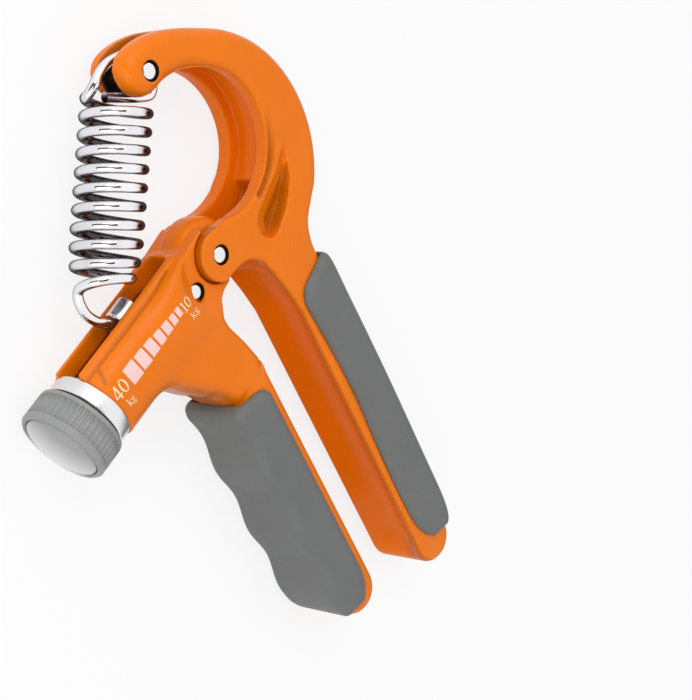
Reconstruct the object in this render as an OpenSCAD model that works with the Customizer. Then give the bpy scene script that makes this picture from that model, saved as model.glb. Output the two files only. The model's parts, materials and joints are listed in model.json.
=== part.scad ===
// Hand grip strengthener with an adjustable extension spring.
// It lies on its side: x and y are in the plane that the handles swing in, z is the thickness.
// Most sizes are measured from the pivot pin's axis at mid-thickness; place() then moves
// everything so that the origin is at the middle of the base.

/* [Frame] */
// Thickness of the curved frame and the palm handle's core
frame_t = 18; // [16.5:0.5:19.5]
// Radius of the frame's rounded edges
frame_edge_r = 2.2; // [1:0.2:2.6]
// Radius of the hook's outer arc
hook_out_r = 32; // [31:0.5:34]
// Radius of the hook's inner arc, the edge of the finger hole
hook_in_r = 17.8; // [16.8:0.2:18.6]
// Radius of the lobes that hold the pivot pin
lobe_r = 6.4; // [5.8:0.2:6.8]
// Gap between the two pivot cheeks, which takes the lever's tongue
cheek_gap = 10.8; // [10:0.2:11.6]
// Thickness over the two ears that hold the top pin
ears_t = 15; // [12.6:0.4:15.8]
// Width of the slot between the ears
ear_slot_w = 4.6; // [4:0.2:5.4]
// Width of the channel along the finger hole's edge
channel_w = 9.2; // [7:0.2:10]
// Depth of that channel
channel_d = 3.2; // [2:0.2:4]
// Depth of the pocket in each side of the hook
pocket_d = 3.4; // [2:0.2:4.5]

/* [Palm handle] */
// Slope of both handles below the x axis, in degrees
handle_slope = 56; // [52:1:60]
// Distance of the palm handle's inner edge from the pivot, across the handle
palm_in = 13.6; // [13:0.2:15]
// Width of the palm handle's core
palm_w = 13.6; // [12:0.2:15]
// Reach of the palm handle's core from the pivot, along the handle
palm_len = 113; // [108:1:118]
// Thickness of the palm pad's wall outside the core
palm_pad_t = 2.4; // [1.6:0.2:3.2]
// Width of the bare strip of core beside the palm pad
palm_strip = 2; // [1.4:0.2:3]
// Depth of the scoop along the core's inner side
palm_scoop_d = 4.2; // [3:0.2:5]
// Half the width of that scoop
palm_scoop_w = 8.2; // [7.4:0.2:8.4]

/* [Lever] */
// Thickness of the lever's plate and of its finger handle's core
lever_t = 17.2; // [15.6:0.4:18]
// Thickness of the lever's tongue between the cheeks
tongue_t = 9.4; // [8.6:0.2:9.4]
// Radius of the tongue
tongue_r = 9.1; // [8.6:0.1:9.6]
// Thickness that the lever is thinned to around the cheeks
waist_t = 13.6; // [12:0.4:14.4]
// Width of the finger handle's core
finger_w = 13; // [12:0.2:14]
// Distance between the two handles' cores when they are squeezed
handle_gap = 16.3; // [15:0.1:18]
// Reach of the finger handle's core from the pivot, along the handle
finger_len = 104.6; // [98:1:108]
// Thickness of the finger pad's wall at its ridges
finger_pad_t = 3.2; // [2.6:0.2:3.8]
// Depth of the hollows for the fingers
finger_hollow_d = 1.5; // [0.8:0.1:1.8]
// Spacing of the hollows for the fingers
finger_pitch = 19.5; // [18:0.5:21]

/* [Barrel] */
// Slope of the barrel below the x axis, in degrees
barrel_slope = 44.5; // [42:0.5:47]
// Outer radius of the barrel
barrel_r = 10.4; // [10:0.1:10.8]
// Width over the barrel's two flat sides
barrel_flats = 18.8; // [17.6:0.2:20]
// Length of the barrel from the cross pin to its open end
barrel_len = 35.4; // [34:0.2:38]
// Radius of the barrel's cavity
cavity_r = 6.9; // [6.7:0.1:7.3]
// Width of the barrel's slot
slot_w = 7; // [6.8:0.1:7.6]

/* [Screw and knob] */
// Radius of the lead screw over its thread
screw_r = 2.5; // [2.3:0.1:2.8]
// Depth of the thread
thread_d = 0.45; // [0.3:0.05:0.6]
// Distance between threads
thread_pitch = 2; // [1.5:0.25:2.5]
// Length of the carrier nut
nut_len = 8.5; // [7.5:0.5:9.5]
// Distance from the cross pin to the carrier nut
nut_at = 9.5; // [9:0.1:10.5]
// Radius of the nut's boss, which shows in the slot
boss_r = 2.6; // [2.2:0.1:3.2]
// Height of the boss over the barrel
boss_rise = 0.4; // [-0.8:0.1:0.8]
// How much shorter the boss is than the nut
boss_step = 0.7; // [0.3:0.1:1.2]
// Radius of the steel collar at the barrel's end
collar_r = 9.9; // [9.4:0.1:10.4]
// Length of the collar outside the barrel
collar_len = 3.9; // [3:0.1:5]
// Radius of the knob
knob_r = 10.8; // [10.2:0.1:11]
// Length of the knob
knob_len = 8.2; // [7:0.2:10]
// Height of the knob cap's crown
cap_crown = 1.1; // [0.4:0.1:1.6]
// Number of flutes round the knob
flutes = 44; // [24:1:48]

/* [Pins] */
// Radius of the pivot pin and of the top pin
pin_r = 2.1; // [1.8:0.1:2.3]
// Radius of the cross pin behind the screw
cross_pin_r = 2; // [1.8:0.1:2.2]
// Depth of the wider mouth at each end of a pin's hole
mouth_d = 1.4; // [0.8:0.1:1.8]
// How much wider that mouth is than the pin, on the radius
mouth_w = 0.25; // [0.1:0.05:0.4]
// Wall of the sleeve that turns on each pin
sleeve_wall = 0.9; // [0.6:0.1:1.1]

/* [Spring] */
// Diameter of the spring's wire
wire_d = 2.4; // [2.1:0.1:2.5]
// Mean radius of the spring's coils
coil_r = 7.2; // [6.6:0.1:7.4]
// Distance between coils, squeezed
coil_pitch = 4.2; // [3.9:0.1:4.3]
// Turns of the spring
coil_turns = 9.9; // [9:0.1:10.2]

/* [Fits] */
// Radial clearance of a part that turns or slides on a pin or a screw
run_fit = 0.06; // [0.02:0.01:0.1]
// Gap between the flat faces of parts that move past each other
side_fit = 0.1; // [0.05:0.05:0.2]
// Gap round a soft pad's seat
seat_fit = 0.05; // [0.02:0.01:0.15]

/* [Hidden] */
$fn = 64;
over = 1;            // how far a cutting tool runs past a face
rest_h = 11;         // height of the mid-plane over the surface that it lies on
pad_half = rest_h;   // both pads reach down to that surface, as the knob nearly does

// Places, measured from the pivot
hook_out_c = [0, 20.3];
hook_in_c = [-3, 25.5];
top_pin_at = [-19.5, 41.1];
cross_pin_at = [-5.8, -8.6];

// ---- outlines ----------------------------------------------------------------------------
function arc(c, r, a0, a1, n) =
    [for (i = [0 : n]) c + r * [cos(a0 + (a1 - a0) * i / n), sin(a0 + (a1 - a0) * i / n)]];

// A smooth curve through the points, without its last point, so that curves can be chained
function curve_at(a, b, c, d, t) =
    0.5 * (2 * b + (c - a) * t + (2 * a - 5 * b + 4 * c - d) * t * t
        + (3 * b - a - 3 * c + d) * t * t * t);
function smooth(p, n) =
    [for (i = [0 : len(p) - 2], k = [0 : n - 1])
        curve_at(p[max(i - 1, 0)], p[i], p[i + 1], p[min(i + 2, len(p) - 1)], k / n)];

// A point on the handles: t runs down along them, n runs across from the pivot to the palm
function on_handle(t, n) = [
    n * sin(handle_slope) + t * cos(handle_slope),
    n * cos(handle_slope) - t * sin(handle_slope)
];
// A point in the barrel's plane: s runs from the cross pin to the knob, n towards the slot
function on_barrel(s, n) = cross_pin_at + [
    -s * cos(barrel_slope) - n * sin(barrel_slope),
    -s * sin(barrel_slope) + n * cos(barrel_slope)
];

function unit(v) = v / norm(v);
function backwards(p) = [for (i = [len(p) - 1 : -1 : 0]) p[i]];

// A rounded bar is drawn between two rails, its two edges seen from the side, of equal length
palm_out = palm_in + palm_w;
palm_end = palm_len - palm_w / 2;
function bar_end(t_end, n_mid, w, side) =
    [for (a = [0 : 15 : 75])
        on_handle(t_end + w / 2 * sin(a), n_mid + side * w / 2 * cos(a))];

function frame_outer() = concat(
    smooth([[-26.9, 41.1], [-26.4, 43.3], [-25.2, 45.1], [-22.9, 47], [-19.4, 49], [-14.6, 50.7],
        [-8.8, 51.75], hook_out_c + hook_out_r * [cos(93), sin(93)]], 2),
    arc(hook_out_c, hook_out_r, 93, -6, 24),
    smooth([[30.7, 13], [29.7, 8], [30.8, 3.4], on_handle(19, palm_out), on_handle(29, palm_out)], 2),
    [for (t = [29 : 15 : 104]) on_handle(t, palm_out)],
    bar_end(palm_end, palm_in + palm_w / 2, palm_w, 1)
);
function frame_inner() = concat(
    smooth([[-26.85, 40.6], [-26, 38.6], [-24.2, 36.6], [-21.6, 35.45], [-19.2, 35.6], [-17, 36.9],
        [-14.6, 39.2], hook_in_c + hook_in_r * [cos(122), sin(122)]], 2),
    arc(hook_in_c, hook_in_r, 122, -30, 24),
    smooth([[12.6, 12.6], [12, 8], [12.2, 3.4], [14.6, -2.7], [20.1, -8]], 2),
    [for (k = [0 : 5]) on_handle([27, 42, 57, 72, 87, 104][k], palm_in)],
    bar_end(palm_end, palm_in + palm_w / 2, palm_w, -1)
);
// The cheeks' side view: from the finger hole's edge round the lobe to the palm handle
function cheek_outline() = concat(
    arc(hook_in_c, hook_in_r, -24, -75, 12),
    smooth([[0.2, 7.3], [-1.3, 6.7], lobe_r * [cos(112), sin(112)]], 2),
    arc([0, 0], lobe_r, 112, 288, 24),
    smooth([[3.1, -4.9], [5.2, -3.1], [7.8, -1.7], [10.6, -1.3], [13.7, -2.1], [16.7, -4.4],
        [19.5, -7.4], on_handle(22, palm_in)], 2),
    [on_handle(22, palm_in), on_handle(22, palm_in + 5), [20, 4], [19, 14]]
);

palm_pad_in = palm_in + palm_strip;
palm_pad_out = palm_out + palm_pad_t;
function palm_pad_inner() = smooth([
    on_handle(20.4, palm_pad_in + 4.4), on_handle(21.8, palm_pad_in + 1.6),
    on_handle(25, palm_pad_in - 0.2), on_handle(31, palm_pad_in), on_handle(44, palm_pad_in + 0.9),
    on_handle(57, palm_pad_in + 1.1), on_handle(70, palm_pad_in + 0.4), on_handle(84, palm_pad_in),
    on_handle(97, palm_pad_in + 0.4), on_handle(103, palm_pad_in + 2.4),
    on_handle(106, palm_pad_in + 5)
], 2);
function palm_pad_outer() = smooth([
    on_handle(17.8, palm_pad_out - 3), on_handle(18.8, palm_pad_out - 0.9),
    on_handle(22, palm_pad_out - 0.1), on_handle(31, palm_pad_out), on_handle(44, palm_pad_out + 0.2),
    on_handle(57, palm_pad_out + 0.3), on_handle(70, palm_pad_out + 0.2), on_handle(84, palm_pad_out),
    on_handle(98, palm_pad_out - 0.2), on_handle(104, palm_pad_out - 1.2),
    on_handle(106.6, palm_pad_out - 3)
], 2);

finger_in = palm_in - handle_gap;
finger_out = finger_in - finger_w;
finger_end = finger_len - finger_w / 2;
function finger_inner() = concat(
    [for (t = [29 : 11 : 95]) on_handle(t, finger_in)],
    bar_end(finger_end, finger_in - finger_w / 2, finger_w, 1)
);
function finger_outer() = concat(
    [for (t = [34 : 10 : 94]) on_handle(t, finger_out)],
    bar_end(finger_end, finger_in - finger_w / 2, finger_w, -1)
);
// The lever's side view without its barrel: round the pivot, and down to the finger handle
function web_outline() = concat(
    arc([0, 0], 7.7, 129, 137, 2),
    [on_barrel(4, 8.6), on_barrel(24, 2), on_barrel(26, -6)],
    smooth([on_barrel(22.6, -8.6), [-11.8, -31], [-6.6, -32.4], [-2.4, -33.5], [0.4, -34],
        on_handle(34, finger_out + 0.5)], 2),
    [on_handle(34, finger_out + 0.5), on_handle(36, finger_in - 4), on_handle(31, finger_in - 0.4)],
    smooth([[13, -24.6], [8, -20.2], [3.8, -17], [1.9, -14.5], [1.6, -11.6], [2.6, -8.4],
        [4.4, -5.6], [2, -2]], 3),
    [[0, 1]]
);

finger_ridge = finger_out - finger_pad_t;
function finger_wave(t) = finger_hollow_d * (1 - cos(360 * (t - 33) / finger_pitch)) / 2;
pad_stations = [for (t = [36 : 2.6 : 93.2]) t];
function finger_pad_outer() = concat(
    [on_handle(32.4, finger_out - 0.2), on_handle(33.4, finger_ridge + 0.9)],
    [for (t = pad_stations) on_handle(t, finger_ridge + finger_wave(t))],
    [on_handle(97.4, finger_ridge + 0.9), on_handle(100.8, finger_ridge + 2.6)]
);
function finger_pad_inner() = concat(
    [on_handle(33, finger_in - 7), on_handle(33.8, finger_in - 4.4)],
    [for (t = pad_stations) on_handle(t, finger_in - 3)],
    [on_handle(97.6, finger_in - 4), on_handle(101.4, finger_in - 6.8)]
);

// ---- solids ------------------------------------------------------------------------------
// A bar between two rails, half thick each way from z = 0, with its four edges rounded to r
module rounded_bar(rail_a, rail_b, half, r) {
    steps = 2;
    corners = [for (q = [0 : 3], k = [0 : steps]) [q, 90 * (q + k / steps)]];
    m = len(corners);
    n = len(rail_a);
    points = [for (i = [0 : n - 1]) let (
        across = rail_b[i] - rail_a[i],
        w = norm(across) / 2,
        e = min(r, 0.96 * w),
        mid = (rail_a[i] + rail_b[i]) / 2,
        u = unit(across)
    ) each [for (c = corners) let (
        sx = c[0] == 0 || c[0] == 3 ? 1 : -1,
        sz = c[0] < 2 ? 1 : -1,
        x = sx * (w - e) + e * cos(c[1]),
        z = sz * (half - e) + e * sin(c[1])
    ) [mid[0] + u[0] * x, mid[1] + u[1] * x, z]]];
    // the bar's rings run the other way round where its rails are drawn left to right
    turn = cross(rail_b[0] - rail_a[0], rail_a[1] - rail_a[0]) > 0;
    sides = [for (i = [0 : n - 2], k = [0 : m - 1], half_quad = [0, 1])
        let (a = i * m + k, b = i * m + (k + 1) % m, c = b + m, d = a + m)
        half_quad == 0 ? [a, b, c] : [a, c, d]];
    ends = [[for (k = [m - 1 : -1 : 0]) k], [for (k = [0 : m - 1]) (n - 1) * m + k]];
    faces = concat(sides, ends);
    polyhedron(points, turn ? faces : [for (f = faces) backwards(f)], 10);
}

// A flat plate of the outline, from z0 to z1
module plate(outline, z0, z1) {
    translate([0, 0, z0]) linear_extrude(z1 - z0) polygon(outline);
}

// Everything about the barrel is drawn on its axis: x runs to the knob, -y towards the slot
module on_barrel_axis() {
    translate([cross_pin_at[0], cross_pin_at[1], 0]) rotate(180 + barrel_slope) children();
}

// A round part on the barrel's axis, from s0 to s1
module round_part(s0, s1, r) {
    on_barrel_axis() translate([s0, 0, 0]) rotate([0, 90, 0]) cylinder(h = s1 - s0, r = r);
}

// The same from a profile of [radius, s] points
module turned_part(profile) {
    on_barrel_axis() rotate([0, 90, 0]) rotate_extrude() polygon(profile);
}

// A pin's hole along z at p, with a wider mouth at each face
module pin_hole(p, r, half) {
    translate([p[0], p[1], -half - over]) cylinder(h = 2 * (half + over), r = r);
    for (side = [-1, 1])
        translate([p[0], p[1], side * (half - mouth_d / 2 + over / 2)])
            cylinder(h = mouth_d + over, r = r + mouth_w, center = true);
}

module pin(p, r, half) {
    translate([p[0], p[1], -half]) cylinder(h = 2 * half, r = r);
}

module ring(p, r_out, r_in, z0, z1) {
    translate([p[0], p[1], z0]) difference() {
        cylinder(h = z1 - z0, r = r_out);
        translate([0, 0, -over]) cylinder(h = z1 - z0 + 2 * over, r = r_in);
    }
}

// Moves the pivot's axis to where it stands over the base's middle
knob_s0 = barrel_len + collar_len + 0.7;
knob_s1 = knob_s0 + knob_len;
left_x = on_barrel(knob_s1 - 0.8, knob_r)[0];
right_x = on_handle(palm_end, palm_in + palm_w / 2)[0] + palm_w / 2;
top_y = hook_out_c[1] + hook_out_r;
low_y = on_handle(finger_end, finger_in - finger_w / 2)[1] - finger_w / 2;
module place() {
    translate([-(left_x + right_x) / 2, -(top_y + low_y) / 2, rest_h]) children();
}

// ---- frame -------------------------------------------------------------------------------
frame_half = frame_t / 2;
ear_half = ears_t / 2;
cheek_half = cheek_gap / 2;
ear_slope = 6;      // degrees that each side of the hook slopes to the ears
ear_slope_x = -17;  // where that slope starts
ledge_a = -21.5;    // angle round the finger hole at which the channel deepens

module channel_cut(a0, a1, depth) {
    plate(concat(arc(hook_in_c, hook_in_r - 2, a0, a1, 24),
        arc(hook_in_c, hook_in_r + depth, a1, a0, 24)), -channel_w / 2, channel_w / 2);
}

module pocket_outline() {
    polygon(concat(arc([20.2, 25.5], 1, 15, 195, 8), arc([15, 8], 3.1, 197, 377, 14)));
}

// Line along the palm handle's inner side, with the share of the scoop's depth at each point
function scoop_line() = concat(
    [[[12.2, -1.6], 0.06], [[13.7, -2.1], 0.2], [[15.2, -3.1], 0.5], [[16.7, -4.4], 0.8],
        [[18.2, -6], 0.96], [[19.5, -7.4], 1]],
    [for (t = [22, 27, 42, 57, 72, 87, 101]) [on_handle(t, palm_in), 1]],
    [for (k = [[103.5, 0.82], [106, 0.5], [108.5, 0.2], [110.5, 0.06]])
        [on_handle(k[0], palm_in), k[1]]]
);

// The scoop's cutter: across the thickness its floor is a parabola
module palm_scoop() {
    line = scoop_line();
    n = len(line);
    path = [for (q = line) q[0]];
    floor_z = [for (k = [-4 : 4]) k / 4 * 1.15 * palm_scoop_w];
    m = len(floor_z) + 2;
    points = [for (i = [0 : n - 1]) let (
        t = unit(path[min(i + 1, n - 1)] - path[max(i - 1, 0)]),
        u = [-t[1], t[0]],
        k = line[i][1]
    ) each concat(
        [for (z = floor_z) let (
            d = k * palm_scoop_d * (1 - pow(z / palm_scoop_w, 2)) - 0.5 * (1 - k),
            q = path[i] + u * d
        ) [q[0], q[1], z]],
        [for (z = [floor_z[len(floor_z) - 1], floor_z[0]]) let (q = path[i] - 3 * u) [q[0], q[1], z]]
    )];
    sides = [for (i = [0 : n - 2], k = [0 : m - 1], half_quad = [0, 1])
        let (a = i * m + k, b = i * m + (k + 1) % m, c = b + m, d = a + m)
        half_quad == 0 ? [a, c, b] : [a, d, c]];
    ends = [[for (k = [0 : m - 1]) k], [for (k = [m - 1 : -1 : 0]) (n - 1) * m + k]];
    polyhedron(points, concat(sides, ends), 10);
}

module frame() {
    color("darkorange") place() difference() {
        union() {
            rounded_bar(frame_inner(), frame_outer(), frame_half, frame_edge_r);
            plate(cheek_outline(), side_fit - frame_half, frame_half - side_fit);
        }
        // slopes to the ears
        for (side = [0, 1]) mirror([0, 0, side])
            translate([ear_slope_x, 30, ear_half]) rotate([0, -ear_slope, 0])
                cube([60, 30, 12]);
        for (side = [0, 1]) mirror([0, 0, side])
            translate([ear_slope_x - 20, 30, ear_half]) cube([20.05, 30, 12]);
        // slot between the ears
        translate([-40, 30, -ear_slot_w / 2]) cube([24.4, 30, ear_slot_w]);
        translate([top_pin_at[0], top_pin_at[1], -ear_slot_w / 2]) cylinder(h = ear_slot_w, r = 7.8);
        // tongue's pocket between the cheeks, and the channel that leads up from it
        translate([0, 0, -cheek_half]) cylinder(h = cheek_gap, r = tongue_r + 0.6);
        channel_cut(-88, ledge_a, channel_d + 3.4);
        channel_cut(ledge_a - 1, 78, channel_d);
        palm_scoop();
        // side pockets
        for (side = [0, 1]) mirror([0, 0, side])
            translate([0, 0, frame_half - pocket_d]) linear_extrude(pocket_d + over) pocket_outline();
        // pins
        pin_hole([0, 0], pin_r, frame_half);
        pin_hole(top_pin_at, pin_r, ear_half);
    }
}

// Room for a handle's core inside its pad
module handle_room(n0, n1, half) {
    plate([on_handle(10, n0), on_handle(120, n0), on_handle(120, n1), on_handle(10, n1)], -half, half);
}

module palm_pad() {
    color("gray") place() difference() {
        rounded_bar(palm_pad_inner(), palm_pad_outer(), pad_half, 2.4);
        handle_room(palm_in - 5, palm_out + seat_fit, frame_half + seat_fit);
    }
}

// ---- lever -------------------------------------------------------------------------------
lever_half = lever_t / 2;
tongue_half = tongue_t / 2;
waist_half = waist_t / 2;
lobe_room = lobe_r + 0.4;
block_s0 = -4.4;
block_s1 = 5.5;
block_r = 4.9;
slot_s0 = -1.2;
sleeve_r = pin_r + run_fit + sleeve_wall;

// Thins the sides round the pivot: flat to dish_r, then a cone out to the full thickness
dish_r = 8.8;
module waist_dish() {
    rise = barrel_flats / 2 - waist_half + 0.2;
    rotate_extrude() polygon([[0, waist_half], [dish_r, waist_half],
        [dish_r + 3.6 * rise, waist_half + rise], [dish_r + 3.6 * rise, 20], [0, 20]]);
}

module lever() {
    color("darkorange") place() difference() {
        union() {
            difference() {
                union() {
                    plate(web_outline(), side_fit - lever_half, lever_half - side_fit);
                    rounded_bar(finger_inner(), finger_outer(), lever_half, 2);
                    intersection() {
                        round_part(-2.8, barrel_len, barrel_r);
                        cube([200, 200, barrel_flats], center = true);
                    }
                }
                for (side = [0, 1]) mirror([0, 0, side]) {
                    waist_dish();
                    translate([0, 0, tongue_half]) cylinder(h = 20, r = lobe_room);
                }
            }
            translate([0, 0, -tongue_half]) cylinder(h = tongue_t, r = tongue_r);
        }
        round_part(block_s1 + 0.1, barrel_len + over, cavity_r);
        round_part(block_s0, barrel_len + over, block_r);
        on_barrel_axis() translate([slot_s0, -barrel_r - over, -slot_w / 2])
            cube([block_s1 + 2 - slot_s0, barrel_r + over - 5.2, slot_w]);
        on_barrel_axis() translate([block_s1 + 0.1, -barrel_r - over, -slot_w / 2])
            cube([barrel_len, barrel_r + over, slot_w]);
        translate([0, 0, -tongue_half - over]) cylinder(h = tongue_t + 2 * over, r = sleeve_r);
        pin_hole(cross_pin_at, cross_pin_r, waist_half + 0.35);
    }
}

module finger_pad() {
    color("gray") place() difference() {
        rounded_bar(finger_pad_inner(), finger_pad_outer(), pad_half - 0.4, 2);
        handle_room(finger_out - seat_fit, finger_in + 5, lever_half + seat_fit);
        plate([on_handle(20, finger_out - 3), on_handle(28.4, finger_out - 3),
            on_handle(34, finger_out - seat_fit), on_handle(34, finger_in), on_handle(20, finger_in)],
            -lever_half - seat_fit, lever_half + seat_fit);
    }
}

// ---- pins, washers and sleeves -----------------------------------------------------------
module pivot_pin() {
    color("silver") place() pin([0, 0], pin_r, frame_half - 0.6);
}

module top_pin() {
    color("silver") place() pin(top_pin_at, pin_r, ear_half - 0.6);
}

module cross_pin() {
    color("silver") place() pin(cross_pin_at, cross_pin_r, waist_half - 0.4);
}

module pivot_washers() {
    color("white") place() for (side = [0, 1]) mirror([0, 0, side])
        ring([0, 0], lobe_r - 0.6, pin_r + run_fit, tongue_half + side_fit, cheek_half);
}

module pivot_sleeve() {
    color("gold") place() ring([0, 0], sleeve_r, pin_r + run_fit, -tongue_half, tongue_half);
}

module hook_sleeve() {
    half = ear_slot_w / 2 - side_fit;
    color("silver") place() ring(top_pin_at, sleeve_r, pin_r + run_fit, -half, half);
}

// ---- screw, nut, collar and knob ---------------------------------------------------------
journal_r = screw_r - 0.5;
journal_len = 3;
spigot_len = 2.6;
spigot_s0 = barrel_len - spigot_len;
clip_s0 = spigot_s0 - 0.7;
clip_t = 0.6;
cap_r = knob_r - 1.4;
cap_seat = 1.2;
nut_pocket_r = 4.4;
lock_nut_t = 2.6;
lock_nut_s0 = knob_s1 - cap_seat - lock_nut_t - 0.2;

module end_block() {
    color("silver") place() difference() {
        round_part(block_s0, block_s1, block_r);
        round_part(block_s1 - journal_len, block_s1 + over, journal_r + run_fit);
        pin(cross_pin_at, cross_pin_r, 20);
    }
}

module lead_screw() {
    threads = floor((clip_s0 - block_s1 - 0.6) / thread_pitch);
    root = screw_r - thread_d;
    profile = concat(
        [[0, block_s1 - journal_len + 0.1], [journal_r, block_s1 - journal_len + 0.1],
            [journal_r, block_s1 + 0.15]],
        [for (i = [0 : threads - 1], edge = [0 : 3])
            let (s = block_s1 + 0.15 + i * thread_pitch)
            [edge < 2 ? root : screw_r, s + thread_pitch * [0, 0.35, 0.5, 0.85][edge]]],
        [[root, block_s1 + 0.15 + threads * thread_pitch], [root, clip_s0 + clip_t],
            [screw_r, clip_s0 + clip_t], [screw_r, lock_nut_s0 + lock_nut_t],
            [0, lock_nut_s0 + lock_nut_t]]
    );
    color("silver") place() turned_part(profile);
}

module screw_clip() {
    color("dimgray") place() difference() {
        round_part(clip_s0, clip_s0 + clip_t, 4.3);
        round_part(clip_s0 - over, clip_s0 + clip_t + over, screw_r - thread_d);
    }
}

module carrier_nut() {
    boss_n = barrel_r + boss_rise - boss_r;
    color("silver") place() difference() {
        union() {
            round_part(nut_at, nut_at + nut_len, cavity_r - 0.35);
            on_barrel_axis() translate([nut_at + boss_step, -boss_n, 0]) rotate([0, 90, 0])
                cylinder(h = nut_len - boss_step, r = boss_r);
        }
        round_part(nut_at - over, nut_at + nut_len + over, screw_r + run_fit);
    }
}

module end_collar() {
    color("silver") place() difference() {
        union() {
            round_part(spigot_s0, barrel_len + 0.5, cavity_r - 0.02);
            round_part(barrel_len, barrel_len + collar_len, collar_r);
        }
        round_part(spigot_s0 - over, barrel_len + collar_len + over, screw_r + run_fit);
    }
}

module thrust_washer() {
    color("white") place() difference() {
        round_part(barrel_len + collar_len + side_fit, knob_s0, 7);
        round_part(barrel_len, knob_s0 + over, screw_r);
    }
}

module knob() {
    lip = 1.2;
    color("gray") place() difference() {
        turned_part([[0, knob_s0], [knob_r - 0.5, knob_s0], [knob_r, knob_s0 + 0.5],
            [knob_r, knob_s1 - 0.8], [knob_r - 0.8, knob_s1], [0, knob_s1]]);
        for (i = [0 : flutes - 1])
            on_barrel_axis() rotate([i * 360 / flutes, 0, 0])
                translate([knob_s0 + lip, knob_r + 0.15, 0]) rotate([0, 90, 0])
                    cylinder(h = knob_len - 2 * lip, r = 0.55, $fn = 16);
        round_part(knob_s0 - over, knob_s1 + over, screw_r);
        round_part(lock_nut_s0, knob_s1 + over, nut_pocket_r);
        round_part(knob_s1 - cap_seat, knob_s1 + over, cap_r);
    }
}

module knob_nut() {
    color("silver") place() difference() {
        on_barrel_axis() translate([lock_nut_s0, 0, 0]) rotate([0, 90, 0])
            cylinder(h = lock_nut_t, r = nut_pocket_r - 0.2, $fn = 6);
        round_part(lock_nut_s0 - over, knob_s1, screw_r);
    }
}

module knob_cap() {
    s0 = knob_s1 - cap_seat;
    r0 = cap_r - seat_fit;
    crown = function (r) knob_s1 + cap_crown * (1 - pow(r / cap_r, 2));
    color("lightgray") place() turned_part(concat(
        [[0, s0], [r0, s0]],
        [for (k = [8 : -1 : 0]) let (r = r0 * k / 8) [r, crown(r)]]
    ));
}

// ---- spring ------------------------------------------------------------------------------
wire_r = wire_d / 2;
ring_sides = 6;
rings_a_turn = 8;
coil_low = [-27.9, -6.8];        // middle of the lowest coil's end
coil_lean = [0.108, 0.994];      // direction of the coils' axis
coil_side = [coil_lean[1], -coil_lean[0]];
hook_s = nut_at + nut_len + wire_r + 0.35;
hook_r = screw_r + wire_r + 0.1;

function coil_point(turn) =
    let (a = 180 - 360 * turn, r = coil_r * (1 - 0.1 * max(0, 1 - turn / 2.2)),
        m = coil_low + coil_lean * coil_pitch * turn + coil_side * r * cos(a))
    [m[0], m[1], r * sin(a)];
function barrel_point(s, n, z) = let (q = on_barrel(s, n)) [q[0], q[1], z];

low_hook = smooth([
    barrel_point(hook_s, -hook_r * sin(20), hook_r * cos(20)),
    barrel_point(hook_s, -hook_r * sin(55), hook_r * cos(55)),
    barrel_point(hook_s, -hook_r, 0),
    barrel_point(hook_s, -hook_r * sin(45), -hook_r * cos(45)),
    barrel_point(hook_s, 0.4, -hook_r),
    barrel_point(hook_s, 4.4, -2),
    barrel_point(hook_s, 8.6, -0.2),
    [-27.6, -15.4, 0], [-30.2, -14.7, 0], [-32.9, -13, 0], [-34.8, -10.3, -0.2],
    [-35.4, -8, -0.2], coil_point(0)
], 3);
coils = [for (i = [0 : floor(coil_turns * rings_a_turn)]) coil_point(i / rings_a_turn)];
top_hook = smooth([
    coils[len(coils) - 1],
    [-30.4, 36.2, -1.1], [-29.3, 39.2, 0], [-25.6, 43.4, 0],
    [top_pin_at[0], top_pin_at[1] + sleeve_r + wire_r + 0.25, 0],
    [-16.3, 44.7, 0], [-14.3, 42.2, 0], [-13, 39, 0], [-14.2, 36.6, 0], [-18, 35.8, 0],
    [-22.6, 35.7, 0], [-26.2, 35.6, 0]
], 3);
wire_path = concat(low_hook, coils, [for (i = [1 : len(top_hook) - 1]) top_hook[i]],
    [[-26.2, 35.6, 0]]);

function away_from(t, n) = unit(n - t * (n * t));
function tangent(p, i) = unit(p[min(i + 1, len(p) - 1)] - p[max(i - 1, 0)]);

// A tube along the path: each ring's first corner follows the ring before it, so it never twists
module tube(path, r, sides) {
    n = len(path);
    normals = [for (i = 0, t = tangent(path, 0), v = away_from(t, [0.3, 0.5, 0.8]); i < n;
        i = i + 1, t = tangent(path, min(i, n - 1)), v = away_from(t, v)) [t, v]];
    points = [for (i = [0 : n - 1], k = [0 : sides - 1])
        let (t = normals[i][0], v = normals[i][1], w = cross(t, v), a = 360 * k / sides)
        path[i] + r * (v * cos(a) + w * sin(a))];
    sides_faces = [for (i = [0 : n - 2], k = [0 : sides - 1], half_quad = [0, 1])
        let (a = i * sides + k, b = i * sides + (k + 1) % sides, c = b + sides, d = a + sides)
        half_quad == 0 ? [a, c, b] : [a, d, c]];
    first = [for (k = [0 : sides - 1]) k];
    last = [for (k = [sides - 1 : -1 : 0]) (n - 1) * sides + k];
    polyhedron(points, concat(sides_faces, [first, last]), 10);
}

// Least gap between stretches of the wire that aren't next to each other
skip = 5;
self_gap = min([for (i = [0 : len(wire_path) - 1], j = [i + skip : 1 : len(wire_path) - 1])
    norm(wire_path[i] - wire_path[j])]) - wire_d;

module spring() {
    echo(spring_self_gap = self_gap);
    color("silver") place() tube(wire_path, wire_r, ring_sides);
}

frame();
palm_pad();
lever();
finger_pad();
pivot_pin();
top_pin();
cross_pin();
pivot_washers();
pivot_sleeve();
hook_sleeve();
end_block();
lead_screw();
screw_clip();
carrier_nut();
end_collar();
thrust_washer();
knob();
knob_nut();
knob_cap();
spring();
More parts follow.
